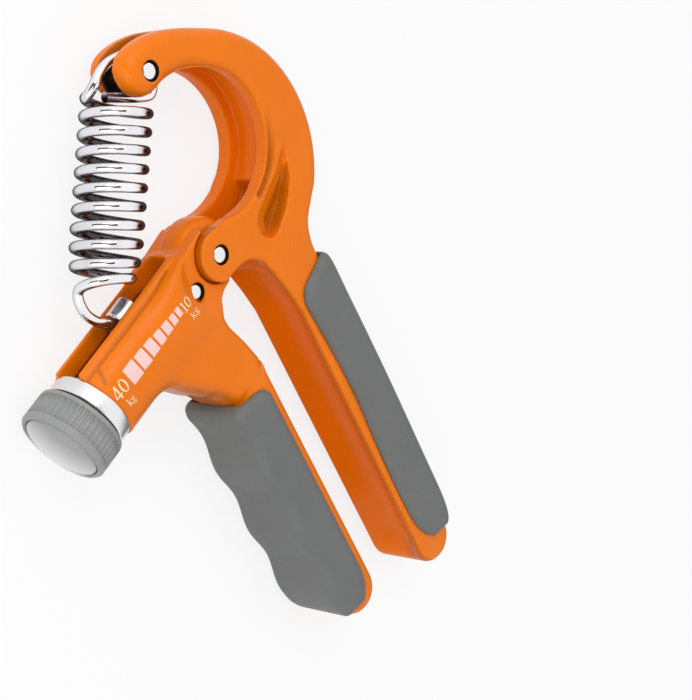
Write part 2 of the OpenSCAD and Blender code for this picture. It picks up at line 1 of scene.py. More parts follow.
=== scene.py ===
"""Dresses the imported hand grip: moulded hook and lever, rubber pads, wound spring, screw drive and scale.

The grip lies on its side. Shapes are worked out in millimetres from the pivot's axis at mid-thickness,
with x and y in the plane that the handles swing in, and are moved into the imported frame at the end.
"""
from __future__ import annotations

import itertools
import json
import logging
import math
from dataclasses import dataclass
from enum import Enum
from typing import Callable, Iterable, Sequence

import bpy
import numpy as np
from mathutils import Matrix, Vector


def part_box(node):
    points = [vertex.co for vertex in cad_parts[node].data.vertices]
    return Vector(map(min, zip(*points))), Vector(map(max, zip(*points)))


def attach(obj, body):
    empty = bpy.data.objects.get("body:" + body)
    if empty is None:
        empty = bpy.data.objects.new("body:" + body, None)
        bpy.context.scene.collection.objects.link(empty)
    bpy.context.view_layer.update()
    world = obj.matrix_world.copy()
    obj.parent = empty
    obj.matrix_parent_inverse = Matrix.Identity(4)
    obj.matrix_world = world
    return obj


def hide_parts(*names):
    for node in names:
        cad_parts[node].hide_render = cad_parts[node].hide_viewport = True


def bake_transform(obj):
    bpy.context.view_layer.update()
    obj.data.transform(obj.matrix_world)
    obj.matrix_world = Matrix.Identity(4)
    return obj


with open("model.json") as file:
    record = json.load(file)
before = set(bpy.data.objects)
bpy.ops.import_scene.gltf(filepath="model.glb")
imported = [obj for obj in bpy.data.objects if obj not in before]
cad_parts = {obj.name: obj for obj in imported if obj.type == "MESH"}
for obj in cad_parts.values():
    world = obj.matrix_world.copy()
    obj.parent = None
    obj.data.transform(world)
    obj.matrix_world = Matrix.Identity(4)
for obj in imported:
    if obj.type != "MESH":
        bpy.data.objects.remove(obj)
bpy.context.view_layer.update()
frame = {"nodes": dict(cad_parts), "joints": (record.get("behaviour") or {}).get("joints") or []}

MM = 0.001
LOG = logging.getLogger("hand_grip")
Point = tuple[float, float]
Number = "float | Socket"
Shape = tuple[np.ndarray, list[list[int]]]


# ---- where the axes stand
@dataclass(frozen=True)
class Datum:
    """The grip's axes, in millimetres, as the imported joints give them."""

    pivot: np.ndarray
    top_pin: np.ndarray
    cross_pin: np.ndarray
    barrel: np.ndarray
    handle_slope: float = 56.0

    @classmethod
    def from_frame(cls) -> "Datum":
        """Reads the joints and the cross pin's box.

        Returns:
            The datum that every shape is placed from.
        """
        joints = {joint["name"]: joint for joint in frame["joints"]}
        pivot = np.array(joints["squeeze"]["pos_m"], float) / MM
        low, high = (np.array(corner, float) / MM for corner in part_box("cross_pin"))
        return cls(
            pivot=pivot,
            top_pin=np.array(joints["spring_swing"]["pos_m"], float) / MM - pivot,
            cross_pin=(low + high) / 2 - pivot,
            barrel=-np.array(joints["knob_turn"]["axis"], float),
        )

    @property
    def across_barrel(self) -> np.ndarray:
        """Direction square to the barrel, in the handles' plane, towards its slot."""
        return np.array([self.barrel[1], -self.barrel[0], 0.0])

    @property
    def handle_turn(self) -> Point:
        """Sine and cosine of the handles' slope."""
        return math.sin(math.radians(self.handle_slope)), math.cos(math.radians(self.handle_slope))

    def on_handle(self, along: float, across: float) -> Point:
        """Turns a handle place into x and y.

        Args:
            along: Distance down the handles.
            across: Distance across them, from the pivot to the palm.

        Returns:
            The point, in millimetres from the pivot.
        """
        sin, cos = self.handle_turn
        return (across * sin + along * cos, across * cos - along * sin)

    def on_barrel(self, along: float, across: float, up: float = 0.0) -> np.ndarray:
        """Turns a barrel place into x, y and z.

        Args:
            along: Distance from the cross pin to the knob.
            across: Distance towards the slot.
            up: Height over the mid-plane.

        Returns:
            The point, in millimetres from the pivot.
        """
        place = self.cross_pin + along * self.barrel + across * self.across_barrel
        return np.array([place[0], place[1], up])


DATUM = Datum.from_frame()


# ---- outlines
@dataclass(frozen=True)
class Circle:
    """A circle in the handles' plane."""

    x: float
    y: float
    r: float

    def at(self, degrees: float) -> Point:
        """The point at an angle round the circle."""
        a = math.radians(degrees)
        return (self.x + self.r * math.cos(a), self.y + self.r * math.sin(a))

    def arc(self, start: float, end: float, steps: int = 24) -> list[Point]:
        """Points along an arc, both ends included."""
        return [self.at(start + (end - start) * i / steps) for i in range(steps + 1)]


def curve(points: Sequence[Sequence[float]], steps: int = 4) -> list[tuple[float, ...]]:
    """Draws a smooth curve through points.

    Args:
        points: Points in the plane or in space.
        steps: Pieces between two points.

    Returns:
        Points along the curve, both ends included.
    """
    p = np.array(points, float)
    found: list[tuple[float, ...]] = []
    for i in range(len(p) - 1):
        a, b, c, d = p[max(i - 1, 0)], p[i], p[i + 1], p[min(i + 2, len(p) - 1)]
        for k in range(steps):
            t = k / steps
            q = 2 * b + (c - a) * t + (2 * a - 5 * b + 4 * c - d) * t**2 + (3 * b - a - 3 * c + d) * t**3
            found.append(tuple(q / 2))
    found.append(tuple(p[-1]))
    return found


def round_end(along: float, middle: float, width: float, side: int) -> list[Point]:
    """Half of a handle's round end, from its edge to its tip.

    Args:
        along: Where the end's centre is, down the handle.
        middle: Where the handle's middle is, across it.
        width: Width of the handle.
        side: 1 for the palm's side, -1 for the other.

    Returns:
        Points round the end.
    """
    r = width / 2
    turns = [math.radians(a) for a in range(0, 91, 10)]
    return [DATUM.on_handle(along + r * math.sin(a), middle + side * r * math.cos(a)) for a in turns]


# ---- solid fields
def soft_step(x: np.ndarray | float, low: float, high: float) -> np.ndarray:
    """Goes smoothly from 0 at low to 1 at high."""
    t = np.clip((x - low) / (high - low), 0, 1)
    return t * t * (3 - 2 * t)


def fuse(a: np.ndarray, b: np.ndarray, fillet: float) -> np.ndarray:
    """Joins two fields with a fillet between them."""
    h = np.maximum(fillet - np.abs(a - b), 0) / fillet
    return np.minimum(a, b) - h * h * fillet / 4


def trim(a: np.ndarray, b: np.ndarray, ease: float) -> np.ndarray:
    """Keeps what both fields hold, with an eased edge."""
    return -fuse(-a, -b, ease)


def round_trim(a: np.ndarray, b: np.ndarray, radius: np.ndarray | float) -> np.ndarray:
    """Keeps what both fields hold, with an edge rounded to a true radius."""
    outside = np.hypot(np.maximum(a + radius, 0), np.maximum(b + radius, 0))
    return np.minimum(np.maximum(a + radius, b + radius), 0) + outside - radius


class Field:
    """Distances to a piece's surface over its upper half, negative inside; the lower half mirrors it."""

    def __init__(self, low: Point, high: Point, half: float, cell: float) -> None:
        """Lays out the samples.

        Args:
            low: Lowest x and y, in millimetres from the pivot.
            high: Highest x and y.
            half: Height that the samples reach over the mid-plane.
            cell: Distance between samples.
        """
        self.cell = cell
        self.low = low
        columns = [np.arange(a, b + cell, cell, dtype=np.float32) for a, b in zip(low, high)]
        self.x = columns[0][:, None, None]
        self.y = columns[1][None, :, None]
        self.z = (cell * (np.arange(math.ceil(half / cell) + 2) + 0.5)).astype(np.float32)[None, None, :]
        self.values = np.full((self.x.size, self.y.size, self.z.size), 1e3, np.float32)

    def from_point(self, x: float, y: float) -> np.ndarray:
        """Distance from an upright line through x, y."""
        return np.hypot(self.x - x, self.y - y)

    def around(self, circle: Circle) -> tuple[np.ndarray, np.ndarray]:
        """Distance from a circle's middle, and the angle round it in degrees, at each sample."""
        angle = np.degrees(np.arctan2(self.y - circle.y, self.x - circle.x))
        return self.from_point(circle.x, circle.y), angle

    def handle(self) -> tuple[np.ndarray, np.ndarray]:
        """Places down and across the handles, at each sample."""
        sin, cos = DATUM.handle_turn
        return self.x * cos - self.y * sin, self.x * sin + self.y * cos

    def barrel(self) -> tuple[np.ndarray, np.ndarray]:
        """Works out where each sample lies on the barrel.

        Returns:
            Places along the barrel and across it, towards its slot.
        """
        dx, dy = self.x - DATUM.cross_pin[0], self.y - DATUM.cross_pin[1]
        (ax, ay, _), (bx, by, _) = DATUM.barrel, DATUM.across_barrel
        return dx * ax + dy * ay, dx * bx + dy * by

    def outline(self, points: Sequence[Point]) -> np.ndarray:
        """Signed distance to a closed outline in the plane.

        Args:
            points: The outline's corners.

        Returns:
            Distances, negative inside, flat in z.
        """
        x, y = self.x[:, :, 0], self.y[:, :, 0]
        best = np.full((x.size, y.size), 1e9, np.float32)
        inside = np.zeros(best.shape, bool)
        for (ax, ay), (bx, by) in zip(points, list(points[1:]) + [points[0]]):
            ex, ey = bx - ax, by - ay
            length = ex * ex + ey * ey
            if length < 1e-12:
                continue
            px, py = x - ax, y - ay
            k = np.clip((px * ex + py * ey) / length, 0, 1)
            np.minimum(best, (px - k * ex) ** 2 + (py - k * ey) ** 2, out=best)
            if ey:
                inside ^= ((ay <= y) != (by <= y)) & (px < py * (ex / ey))
        return (np.where(inside, -1, 1) * np.sqrt(best))[:, :, None]

    def cut(self, shape: np.ndarray, ease: float = 0.4) -> None:
        """Takes a shape out of the piece."""
        self.values = trim(self.values, -shape, ease)

    def bore(self, place: Sequence[float], radius: float, mouth: float, face: np.ndarray | float) -> None:
        """Drills a pin's hole, with a wider mouth.

        Args:
            place: The hole's x and y.
            radius: Radius of the hole.
            mouth: Radius of its mouth.
            face: Height of the face that it opens through.
        """
        r = self.from_point(place[0], place[1])
        wide = np.maximum(r - mouth, (face - 1.5) - self.z)
        self.cut(np.minimum(r - radius, wide), 0.25)

    def top(self, x: np.ndarray, y: np.ndarray) -> np.ndarray:
        """Height of the piece's upper surface.

        Args:
            x: Places, in millimetres from the pivot.
            y: The same.

        Returns:
            Heights over the mid-plane.
        """
        i = (np.asarray(x) - self.low[0]) / self.cell
        j = (np.asarray(y) - self.low[1]) / self.cell
        i0, j0 = np.floor(i).astype(int), np.floor(j).astype(int)
        height = np.zeros(i.shape)
        for di, dj in itertools.product((0, 1), repeat=2):
            column = self.values[i0 + di, j0 + dj]
            inside = column < 0
            k = column.shape[-1] - 1 - np.argmax(inside[..., ::-1], axis=-1)
            rows = np.arange(k.size)
            here = column.reshape(k.size, -1)[rows, k.ravel()]
            above = column.reshape(k.size, -1)[rows, np.minimum(k.ravel() + 1, column.shape[-1] - 1)]
            level = self.cell * (k.ravel() + 0.5 + here / (here - above))
            share = np.abs(1 - di - (i - i0)) * np.abs(1 - dj - (j - j0))
            height += level.reshape(i.shape) * share
        return height

    def surface(self) -> tuple[np.ndarray, np.ndarray]:
        """Nets the surface where the field is zero.

        Returns:
            Points, in millimetres from the pivot, and faces of four points each.
        """
        values = np.concatenate([self.values[:, :, ::-1], self.values], axis=2)
        points, faces = surface_net(values)
        points = points * self.cell
        points += (self.low[0], self.low[1], -self.cell * (self.values.shape[2] - 0.5))
        return points, faces


NET_ROUNDS = 3
NET_STEP = 0.8
NET_MARGIN = 0.02


def surface_net(values: np.ndarray) -> tuple[np.ndarray, np.ndarray]:
    """Puts one point in each cell that the surface crosses, and a face across each crossed edge.

    Args:
        values: Samples of a field, negative inside.

    Returns:
        Points, in cells from the first sample, and faces of four points each, facing outwards.
    """
    inside = values < 0
    steps = np.array(list(itertools.product((0, 1), repeat=3)))
    size = np.array(values.shape)
    count = np.zeros(size - 1, np.int8)
    for a, b, c in steps:
        count += inside[a : size[0] - 1 + a, b : size[1] - 1 + b, c : size[2] - 1 + c]
    crossed = (count > 0) & (count < 8)
    cells = np.argwhere(crossed)
    number = np.full(crossed.shape, -1, np.int64)
    number[crossed] = np.arange(len(cells))
    corner = np.stack([values[tuple((cells + step).T)] for step in steps], 1).astype(float)
    total, hits = np.zeros((len(cells), 3)), np.zeros(len(cells))
    for a, b in itertools.combinations(range(8), 2):
        if np.abs(steps[a] - steps[b]).sum() != 1:
            continue
        va, vb = corner[:, a], corner[:, b]
        cross = (va < 0) != (vb < 0)
        t = np.where(cross, va / np.where(cross, va - vb, 1), 0)
        total += np.where(cross[:, None], steps[a] + t[:, None] * (steps[b] - steps[a]), 0)
        hits += cross
    local = total / hits[:, None]
    sign = np.where(steps.T == 1, 1.0, -1.0)
    for _ in range(NET_ROUNDS):
        w = [np.where(steps[:, axis] == 1, local[:, [axis]], 1 - local[:, [axis]]) for axis in range(3)]
        value = (corner * (w[0] * w[1] * w[2])).sum(1)
        slope = np.stack([(corner * (sign[axis] * w[axis - 2] * w[axis - 1])).sum(1) for axis in range(3)], 1)
        step = value / np.maximum((slope**2).sum(1), 1e-6)
        local = np.clip(local - NET_STEP * step[:, None] * slope, NET_MARGIN, 1 - NET_MARGIN)
    faces = []
    for axis in range(3):
        g, n = np.moveaxis(inside, axis, 0), np.moveaxis(number, axis, 0)
        here, there = g[:-1, 1:-1, 1:-1], g[1:, 1:-1, 1:-1]
        i, j, k = np.nonzero(here != there)
        quad = np.stack([n[i, j, k], n[i, j + 1, k], n[i, j + 1, k + 1], n[i, j, k + 1]], 1)
        turned = here[i, j, k] == (axis == 1)
        quad[turned] = quad[turned][:, ::-1]
        faces.append(quad)
    return cells + local, np.concatenate(faces)


# ---- meshes
def add_object(name: str, data: bpy.types.ID) -> bpy.types.Object:
    """Puts an object with the data into the scene, at the origin.

    Args:
        name: Name of the object.
        data: Its mesh, camera or lamp.

    Returns:
        The object.
    """
    made = bpy.data.objects.new(name, data)
    bpy.context.scene.collection.objects.link(made)
    return made


def piece(name: str, points: np.ndarray, faces: Iterable[Sequence[int]], smooth: bool = True) -> bpy.types.Object:
    """Makes an object at the origin, with its place in its mesh.

    Args:
        name: Name of the piece.
        points: Points in millimetres from the pivot.
        faces: Faces, facing outwards.
        smooth: Whether the faces are shaded smooth.

    Returns:
        The object, in the scene.
    """
    mesh = bpy.data.meshes.new(name)
    placed = (np.asarray(points, float) + DATUM.pivot) * MM
    mesh.from_pydata(placed.tolist(), [], [list(map(int, f)) for f in faces])
    mesh.polygons.foreach_set("use_smooth", [smooth] * len(mesh.polygons))
    mesh.update()
    return add_object(name, mesh)


def attribute(target: bpy.types.Object, name: str, values: np.ndarray) -> None:
    """Stores one number for each point of a piece."""
    layer = target.data.attributes.new(name, "FLOAT", "POINT")
    layer.data.foreach_set("value", np.asarray(values, np.float32))


def tube(rings: int, steps: int, closed: bool = False, flip: bool = False) -> list[list[int]]:
    """Faces between rings of points, with a face on each end unless the tube closes on itself.

    Args:
        rings: Number of rings.
        steps: Points in each ring.
        closed: Whether the last ring meets the first.
        flip: Whether the faces face the other way.

    Returns:
        The faces.
    """
    faces = []
    for i in range(rings if closed else rings - 1):
        a, b = i * steps, (i + 1) % rings * steps
        quads = [[a + k, a + (k + 1) % steps, b + (k + 1) % steps, b + k] for k in range(steps)]
        faces += [[p, s, r, q] for p, q, r, s in quads] if flip else quads
    if not closed:
        ends = [list(range(steps))[::-1], list(range((rings - 1) * steps, rings * steps))]
        faces += [end[::-1] for end in ends] if flip else ends
    return faces


def turned(profile: Sequence[Point], steps: int = 96, off: float = 0.0) -> Shape:
    """Turns a profile round the barrel's axis, or round a line beside it.

    Args:
        profile: Places along the axis and radii, from the pivot's end to the knob's; a closed ring if its
            ends meet, and otherwise ending on the axis.
        steps: Points round the axis.
        off: How far the line lies from the axis, towards the slot.

    Returns:
        Points, in millimetres from the pivot, and faces.
    """
    closed = profile[0] == profile[-1]
    rings = list(profile[:-1] if closed else profile)
    turns = [2 * math.pi * k / steps for k in range(steps)]
    points = [DATUM.on_barrel(s, off + r * math.cos(a), r * math.sin(a)) for s, r in rings for a in turns]
    return np.array(points), tube(len(rings), steps, closed)


def bevelled(profile: Sequence[Point], ease: float, steps: int = 3) -> list[Point]:
    """Rounds the corners of a turned profile.

    Args:
        profile: Its corners; the first and the last stay sharp.
        ease: Distance from a corner at which its rounding starts.
        steps: Pieces in each rounding.

    Returns:
        The rounded profile.
    """
    p = [np.array(q, float) for q in profile]
    found = [tuple(p[0])]
    for a, b, c in zip(p, p[1:], p[2:]):
        before, after = np.linalg.norm(a - b), np.linalg.norm(c - b)
        e = min(ease, before * 0.45, after * 0.45)
        start, end = b + (a - b) / before * e, b + (c - b) / after * e
        for k in range(steps + 1):
            t = k / steps
            found.append(tuple((1 - t) ** 2 * start + 2 * t * (1 - t) * b + t * t * end))
    found.append(tuple(p[-1]))
    return found


# ---- shader maths
def maths(operation: str, swapped: bool = False) -> Callable[["Socket", Number], "Socket"]:
    """Makes an operator of shader values.

    Args:
        operation: The Math node's operation.
        swapped: Whether the other value comes first.

    Returns:
        The operator, which adds one Math node.
    """

    def operator(self: "Socket", other: Number) -> "Socket":
        """Adds the node."""
        a, b = (other, self) if swapped else (self, other)
        return self.sheet.add("ShaderNodeMath", {0: a, 1: b}, operation=operation)

    return operator


class Socket:
    """A node's output, which takes part in Python sums."""

    def __init__(self, sheet: "NodeSheet", link: bpy.types.NodeSocket | None) -> None:
        """Keeps the sheet that the value belongs to, and its socket."""
        self.sheet = sheet
        self.link = link

    __add__ = maths("ADD")
    __radd__ = maths("ADD", True)
    __sub__ = maths("SUBTRACT")
    __rsub__ = maths("SUBTRACT", True)
    __mul__ = maths("MULTIPLY")
    __rmul__ = maths("MULTIPLY", True)
    __gt__ = maths("GREATER_THAN")


class NodeSheet:
    """A node tree that is filled in by code."""

    def __init__(self, tree: bpy.types.NodeTree) -> None:
        """Starts with an empty tree."""
        self.tree = tree
        tree.nodes.clear()

    def add(
        self, kind: str, inputs: dict[int | str, object] | None = None, output: int | str = 0, **settings: object
    ) -> Socket:
        """Adds a node.

        Args:
            kind: The node's type.
            inputs: Values or outputs for its inputs, by name or number; a list makes several links.
            output: The output to return.
            settings: Its settings, which are set first.

        Returns:
            The output that was asked for.
        """
        node = self.tree.nodes.new(kind)
        for key, value in settings.items():
            setattr(node, key, value)
        for key, value in (inputs or {}).items():
            socket = node.inputs[key]
            if isinstance(value, (Socket, list)):
                for one in value if isinstance(value, list) else [value]:
                    self.tree.links.new(one.link, socket)
            elif socket.type == "RGBA" and len(value) == 3:
                socket.default_value = (*value, 1.0)
            else:
                socket.default_value = value
        return Socket(self, node.outputs[output] if len(node.outputs) else None)

    def blend(self, factor: Number, a: object, b: object) -> Socket:
        """Mixes two colours."""
        return self.add("ShaderNodeMix", {0: factor, 6: a, 7: b}, 2, data_type="RGBA")

    def stored(self, name: str) -> Socket:
        """The piece's own number of that name, at each point."""
        return self.add("ShaderNodeAttribute", output="Fac", attribute_name=name)

    def place(self, **mapping: object) -> Socket:
        """Object coordinates, in metres, after an optional mapping."""
        where = self.add("ShaderNodeTexCoord", output="Object")
        return self.add("ShaderNodeMapping", {"Vector": where, **mapping}) if mapping else where

    def towards(self, where: Socket, way: Iterable[float]) -> Socket:
        """How far a vector reaches along a direction."""
        return self.add("ShaderNodeVectorMath", {0: where, 1: tuple(way)}, "Value", operation="DOT_PRODUCT")

    def noise(self, where: Socket, scale: float, detail: float) -> Socket:
        """Noise, with a scale in lumps a metre."""
        return self.add("ShaderNodeTexNoise", {"Vector": where, "Scale": scale, "Detail": detail})

    def spread(self, value: Socket, low: float, high: float, to_low: float, to_high: float) -> Socket:
        """Maps a value from one range to another, clamped."""
        return self.add("ShaderNodeMapRange", {0: value, 1: low, 2: high, 3: to_low, 4: to_high}, clamp=True)


# near black for painted shade and painted dark reflection
PAINTED_BLACK_COLOUR = (0.012, 0.007, 0.005)
PAINTED_EDGE_DARK = (0.03, 0.03, 0.033)
BUMP_DISTANCE = 0.0001


class Relief(Enum):
    """How a finish's surface is broken up, close up; one kind also paints a lighter lower side on the knob and its
    cap.
    """

    MOULDED = "moulded"
    GRAINED = "grained"
    DRAWN = "drawn"
    TURNED = "turned"
    SWEPT = "swept"


@dataclass(frozen=True)
class Finish:
    """A surface finish: its colours, gloss and relief."""

    name: str
    colour: tuple[float, float, float]
    shade: tuple[float, float, float]
    roughness: float
    metal: float = 0.0
    relief: Relief = Relief.MOULDED
    bump: float = 0.1
    specular: float = 0.5
    rim: float = 0.0
    pale_from: float = -0.006

    def material(self) -> bpy.types.Material:
        """Builds the finish's material once.

        Returns:
            The material.
        """
        name = f"{self.name}_finish"
        found = bpy.data.materials.get(name)
        if found:
            return found
        made = bpy.data.materials.new(name)
        made.use_nodes = True
        sheet = NodeSheet(made.node_tree)
        colour, roughness, height = self.layers(sheet)
        normal = sheet.add("ShaderNodeBump", {"Strength": 1.0, "Distance": BUMP_DISTANCE, "Height": height})
        shader = sheet.add(
            "ShaderNodeBsdfPrincipled",
            {
                "Base Color": colour,
                "Roughness": roughness,
                "Metallic": self.metal,
                "Specular IOR Level": self.specular,
                "Normal": normal,
            },
        )
        if self.rim:
            # painted reflection: a round wire would mirror the dark room at its edges, so its edges are mixed with a
            # near-black diffuse
            facing = sheet.add("ShaderNodeLayerWeight", {"Blend": 0.5}, "Facing")
            edge = sheet.add("ShaderNodeBsdfDiffuse", {"Color": PAINTED_EDGE_DARK})
            amount = sheet.spread(facing, 0.52, 0.78, 0.0, self.rim)
            shader = sheet.add("ShaderNodeMixShader", {0: amount, 1: shader, 2: edge})
        sheet.add("ShaderNodeOutputMaterial", {"Surface": shader})
        made.diffuse_color = (*self.colour, 1.0)
        return made

    def layers(self, sheet: NodeSheet) -> tuple[Socket, Socket, Socket]:
        """Works out what changes over the surface.

        Args:
            sheet: The material's nodes.

        Returns:
            Colour, roughness and height, the height in tenths of a millimetre.
        """
        where = sheet.place()
        broad = sheet.noise(where, 60.0, 2.0)
        fine = sheet.noise(where, 1400.0, 3.0)
        mottle = sheet.blend(sheet.spread(broad, 0.3, 0.7, 0.0, 0.14), self.colour, self.shade)
        # painted shade: recess moves the colour towards the shade colour where shade falls; on the scale's ink it
        # picks the values' cream ink, which is print
        colour = sheet.blend(sheet.stored("recess"), mottle, self.shade)
        # painted shade and painted reflection: near black deep in the ear slot and on the coils' far ends
        colour = sheet.blend(sheet.stored("pit"), colour, PAINTED_BLACK_COLOUR)
        roughness = self.roughness * (sheet.spread(broad, 0.3, 0.7, 0.85, 1.15) + 0.25 * (fine - 0.5))
        if self.relief is Relief.GRAINED:
            cells = sheet.add("ShaderNodeTexVoronoi", {"Vector": where, "Scale": 1900.0}, "Distance")
            height = self.bump * (cells + fine)
            dust = sheet.spread(sheet.noise(where, 500.0, 6.0), 0.6, 0.75, 0.0, 0.25)
            colour = sheet.blend(dust, colour, tuple(min(1.0, c * 1.35) for c in self.colour))
        elif self.relief is Relief.DRAWN:
            height = self.bump * sheet.noise(where, 2600.0, 2.0)
            tarnish = sheet.spread(sheet.noise(where, 260.0, 4.0), 0.5, 0.8, 0.0, 0.16)
            colour = sheet.blend(tarnish, colour, self.shade)
        elif self.relief is Relief.TURNED:
            angle = math.atan2(DATUM.barrel[1], DATUM.barrel[0])
            along = sheet.place(Rotation=(0.0, 0.0, -angle))
            wave = {"Vector": along, "Scale": 900.0, "Distortion": 1.5, "Detail": 2.0, "Detail Scale": 2.0}
            rings = sheet.add("ShaderNodeTexWave", wave, "Fac", wave_type="BANDS", bands_direction="X")
            height = self.bump * rings
            roughness = roughness + 0.06 * rings
        elif self.relief is Relief.SWEPT:
            # painted light: the knob's outer side and its cap pale from the upper edge to the lower one, as light
            # from below would make them
            low = -0.57 * DATUM.across_barrel - np.array([0.0, 0.0, 0.82])
            middle = (DATUM.on_barrel(48.0, 0.0) + DATUM.pivot) * MM
            off = sheet.towards(where, low) - float(middle @ low)
            colour = sheet.blend(sheet.spread(off, self.pale_from, 0.0105, 0.0, 1.0), colour, (0.8, 0.8, 0.8))
            height = self.bump * fine
        else:
            scuffs = sheet.noise(sheet.place(Scale=(1.0, 0.12, 1.0), Rotation=(0.0, 0.0, 0.6)), 900.0, 2.0)
            marks = sheet.spread(scuffs, 0.66, 0.74, 0.0, 1.0)
            roughness = roughness + 0.1 * marks
            height = self.bump * (sheet.noise(where, 420.0, 1.0) * 2.0 + 0.15 * fine - 0.25 * marks)
        return colour, roughness, height


# the orange's shade colour serves as painted shade, and as the dark end of its mottle
ORANGE = Finish("orange_plastic", (0.82, 0.178, 0.001), (0.46, 0.108, 0.001), 0.24, bump=0.05, specular=0.2)
RUBBER = Finish(
    "grey_rubber", (0.15, 0.155, 0.151), (0.1, 0.106, 0.102), 0.5, relief=Relief.GRAINED, bump=0.16,
    specular=0.2,
)
KNOB_GREY = Finish(
    "grey_plastic", (0.275, 0.28, 0.275), (0.19, 0.195, 0.19), 0.42, bump=0.07, specular=0.35,
    relief=Relief.SWEPT, pale_from=0.0045,
)
CAP_GREY = Finish("cap_plastic", (0.3, 0.3, 0.3), (0.24, 0.24, 0.24), 0.3, relief=Relief.SWEPT, bump=0.05)
# black for the painted shadow in the pins' hole mouths
PIN_SHADOW = Finish("pin_seat", (0.012, 0.007, 0.006), (0.008, 0.005, 0.004), 0.7, bump=0.05, specular=0.05)
# the chrome's dark shade colour serves as painted shade inside the coils, and as tarnish
CHROME = Finish("chrome_wire", (0.86, 0.85, 0.88), (0.14, 0.13, 0.14), 0.07, 1.0, Relief.DRAWN, 0.02, rim=0.9)
TURNED = Finish("turned_steel", (0.8, 0.79, 0.8), (0.55, 0.54, 0.55), 0.24, 1.0, Relief.TURNED, 0.1)
NUT_STEEL = Finish("nut_steel", (0.84, 0.83, 0.84), (0.6, 0.59, 0.6), 0.16, 1.0, Relief.TURNED, 0.06)
PIN_STEEL = Finish("pin_steel", (0.82, 0.81, 0.81), (0.5, 0.49, 0.49), 0.22, 1.0, Relief.DRAWN, 0.12)
CLIP_STEEL = Finish("clip_steel", (0.05, 0.05, 0.055), (0.02, 0.02, 0.02), 0.35, 0.0, Relief.DRAWN, 0.1)
NYLON = Finish("white_nylon", (0.72, 0.71, 0.67), (0.55, 0.53, 0.48), 0.45, bump=0.1)
BRASS = Finish("bush_brass", (0.75, 0.52, 0.22), (0.45, 0.28, 0.1), 0.3, 1.0, Relief.DRAWN, 0.1)
INK = Finish("scale_ink", (0.9, 0.56, 0.56), (0.86, 0.69, 0.43), 0.5, bump=0.04, specular=0.3)


def dress(target: bpy.types.Object, finish: Finish) -> bpy.types.Object:
    """Gives a piece one finish all over.

    Args:
        target: The piece.
        finish: Its finish.

    Returns:
        The piece.
    """
    target.data.materials.clear()
    target.data.materials.append(finish.material())
    return target


# ---- geometry nodes
class Pattern(NodeSheet):
    """A Geometry Nodes tree with named inputs, which ends in Realize Instances and Set Material."""

    def __init__(self, name: str, **sizes: float) -> None:
        """Starts the tree.

        Args:
            name: Name of the tree.
            sizes: Its inputs, with their values; whole numbers make integer inputs.
        """
        super().__init__(bpy.data.node_groups.new(name, "GeometryNodeTree"))
        self.sizes = sizes
        face = self.tree.interface
        face.new_socket("Geometry", in_out="INPUT", socket_type="NodeSocketGeometry")
        for key, value in sizes.items():
            kind = "NodeSocketInt" if isinstance(value, int) else "NodeSocketFloat"
            face.new_socket(key, in_out="INPUT", socket_type=kind)
        face.new_socket("Geometry", in_out="OUTPUT", socket_type="NodeSocketGeometry")
        self.source = self.tree.nodes.new("NodeGroupInput")

    def size(self, key: str) -> Socket:
        """The tree's input of that name."""
        return Socket(self, self.source.outputs[key])

    def wire(self, radius: str, sides: Number) -> Socket:
        """Draws a round wire along the edges that the tree is given.

        Args:
            radius: Name of the input that holds its radius.
            sides: Points round it.

        Returns:
            The wire, with closed ends.
        """
        line = self.add("GeometryNodeMeshToCurve", {0: self.size("Geometry")})
        ring = self.add("GeometryNodeCurvePrimitiveCircle", {"Resolution": sides, "Radius": self.size(radius)})
        return self.add("GeometryNodeCurveToMesh", {"Curve": line, "Profile Curve": ring, "Fill Caps": True})

    def finish(self, last: Socket, finish: Finish) -> None:
        """Ends the tree.

        Args:
            last: The output that gives the shape.
            finish: The finish that it takes.
        """
        real = self.add("GeometryNodeRealizeInstances", {0: last})
        done = self.add("GeometryNodeSetMaterial", {"Geometry": real, "Material": finish.material()})
        self.add("NodeGroupOutput", {0: done})

    def grow(self, name: str, start: bpy.types.Object) -> bpy.types.Object:
        """Runs the tree on an object, which is used up.

        Args:
            name: Name of the piece made.
            start: The object that the tree starts from.

        Returns:
            A plain mesh object at the origin.
        """
        modifier = start.modifiers.new(self.tree.name, "NODES")
        modifier.node_group = self.tree
        for item in self.tree.interface.items_tree:
            if item.in_out == "INPUT" and item.name in self.sizes:
                modifier[item.identifier] = self.sizes[item.name]
        start.update_tag()
        graph = bpy.context.evaluated_depsgraph_get()
        mesh = bpy.data.meshes.new_from_object(start.evaluated_get(graph), depsgraph=graph)
        start.modifiers.remove(modifier)
        bpy.data.objects.remove(start)
        mesh.name = name
        return add_object(name, mesh)


def path_object(name: str, points: Sequence[Sequence[float]]) -> bpy.types.Object:
    """Makes an open wire mesh through points, for a pattern to follow.

    Args:
        name: Name of the object.
        points: Points in millimetres from the pivot.

    Returns:
        The object.
    """
    mesh = bpy.data.meshes.new(name)
    edges = [(i, i + 1) for i in range(len(points) - 1)]
    mesh.from_pydata(((np.array(points) + DATUM.pivot) * MM).tolist(), edges, [])
    return add_object(name, mesh)


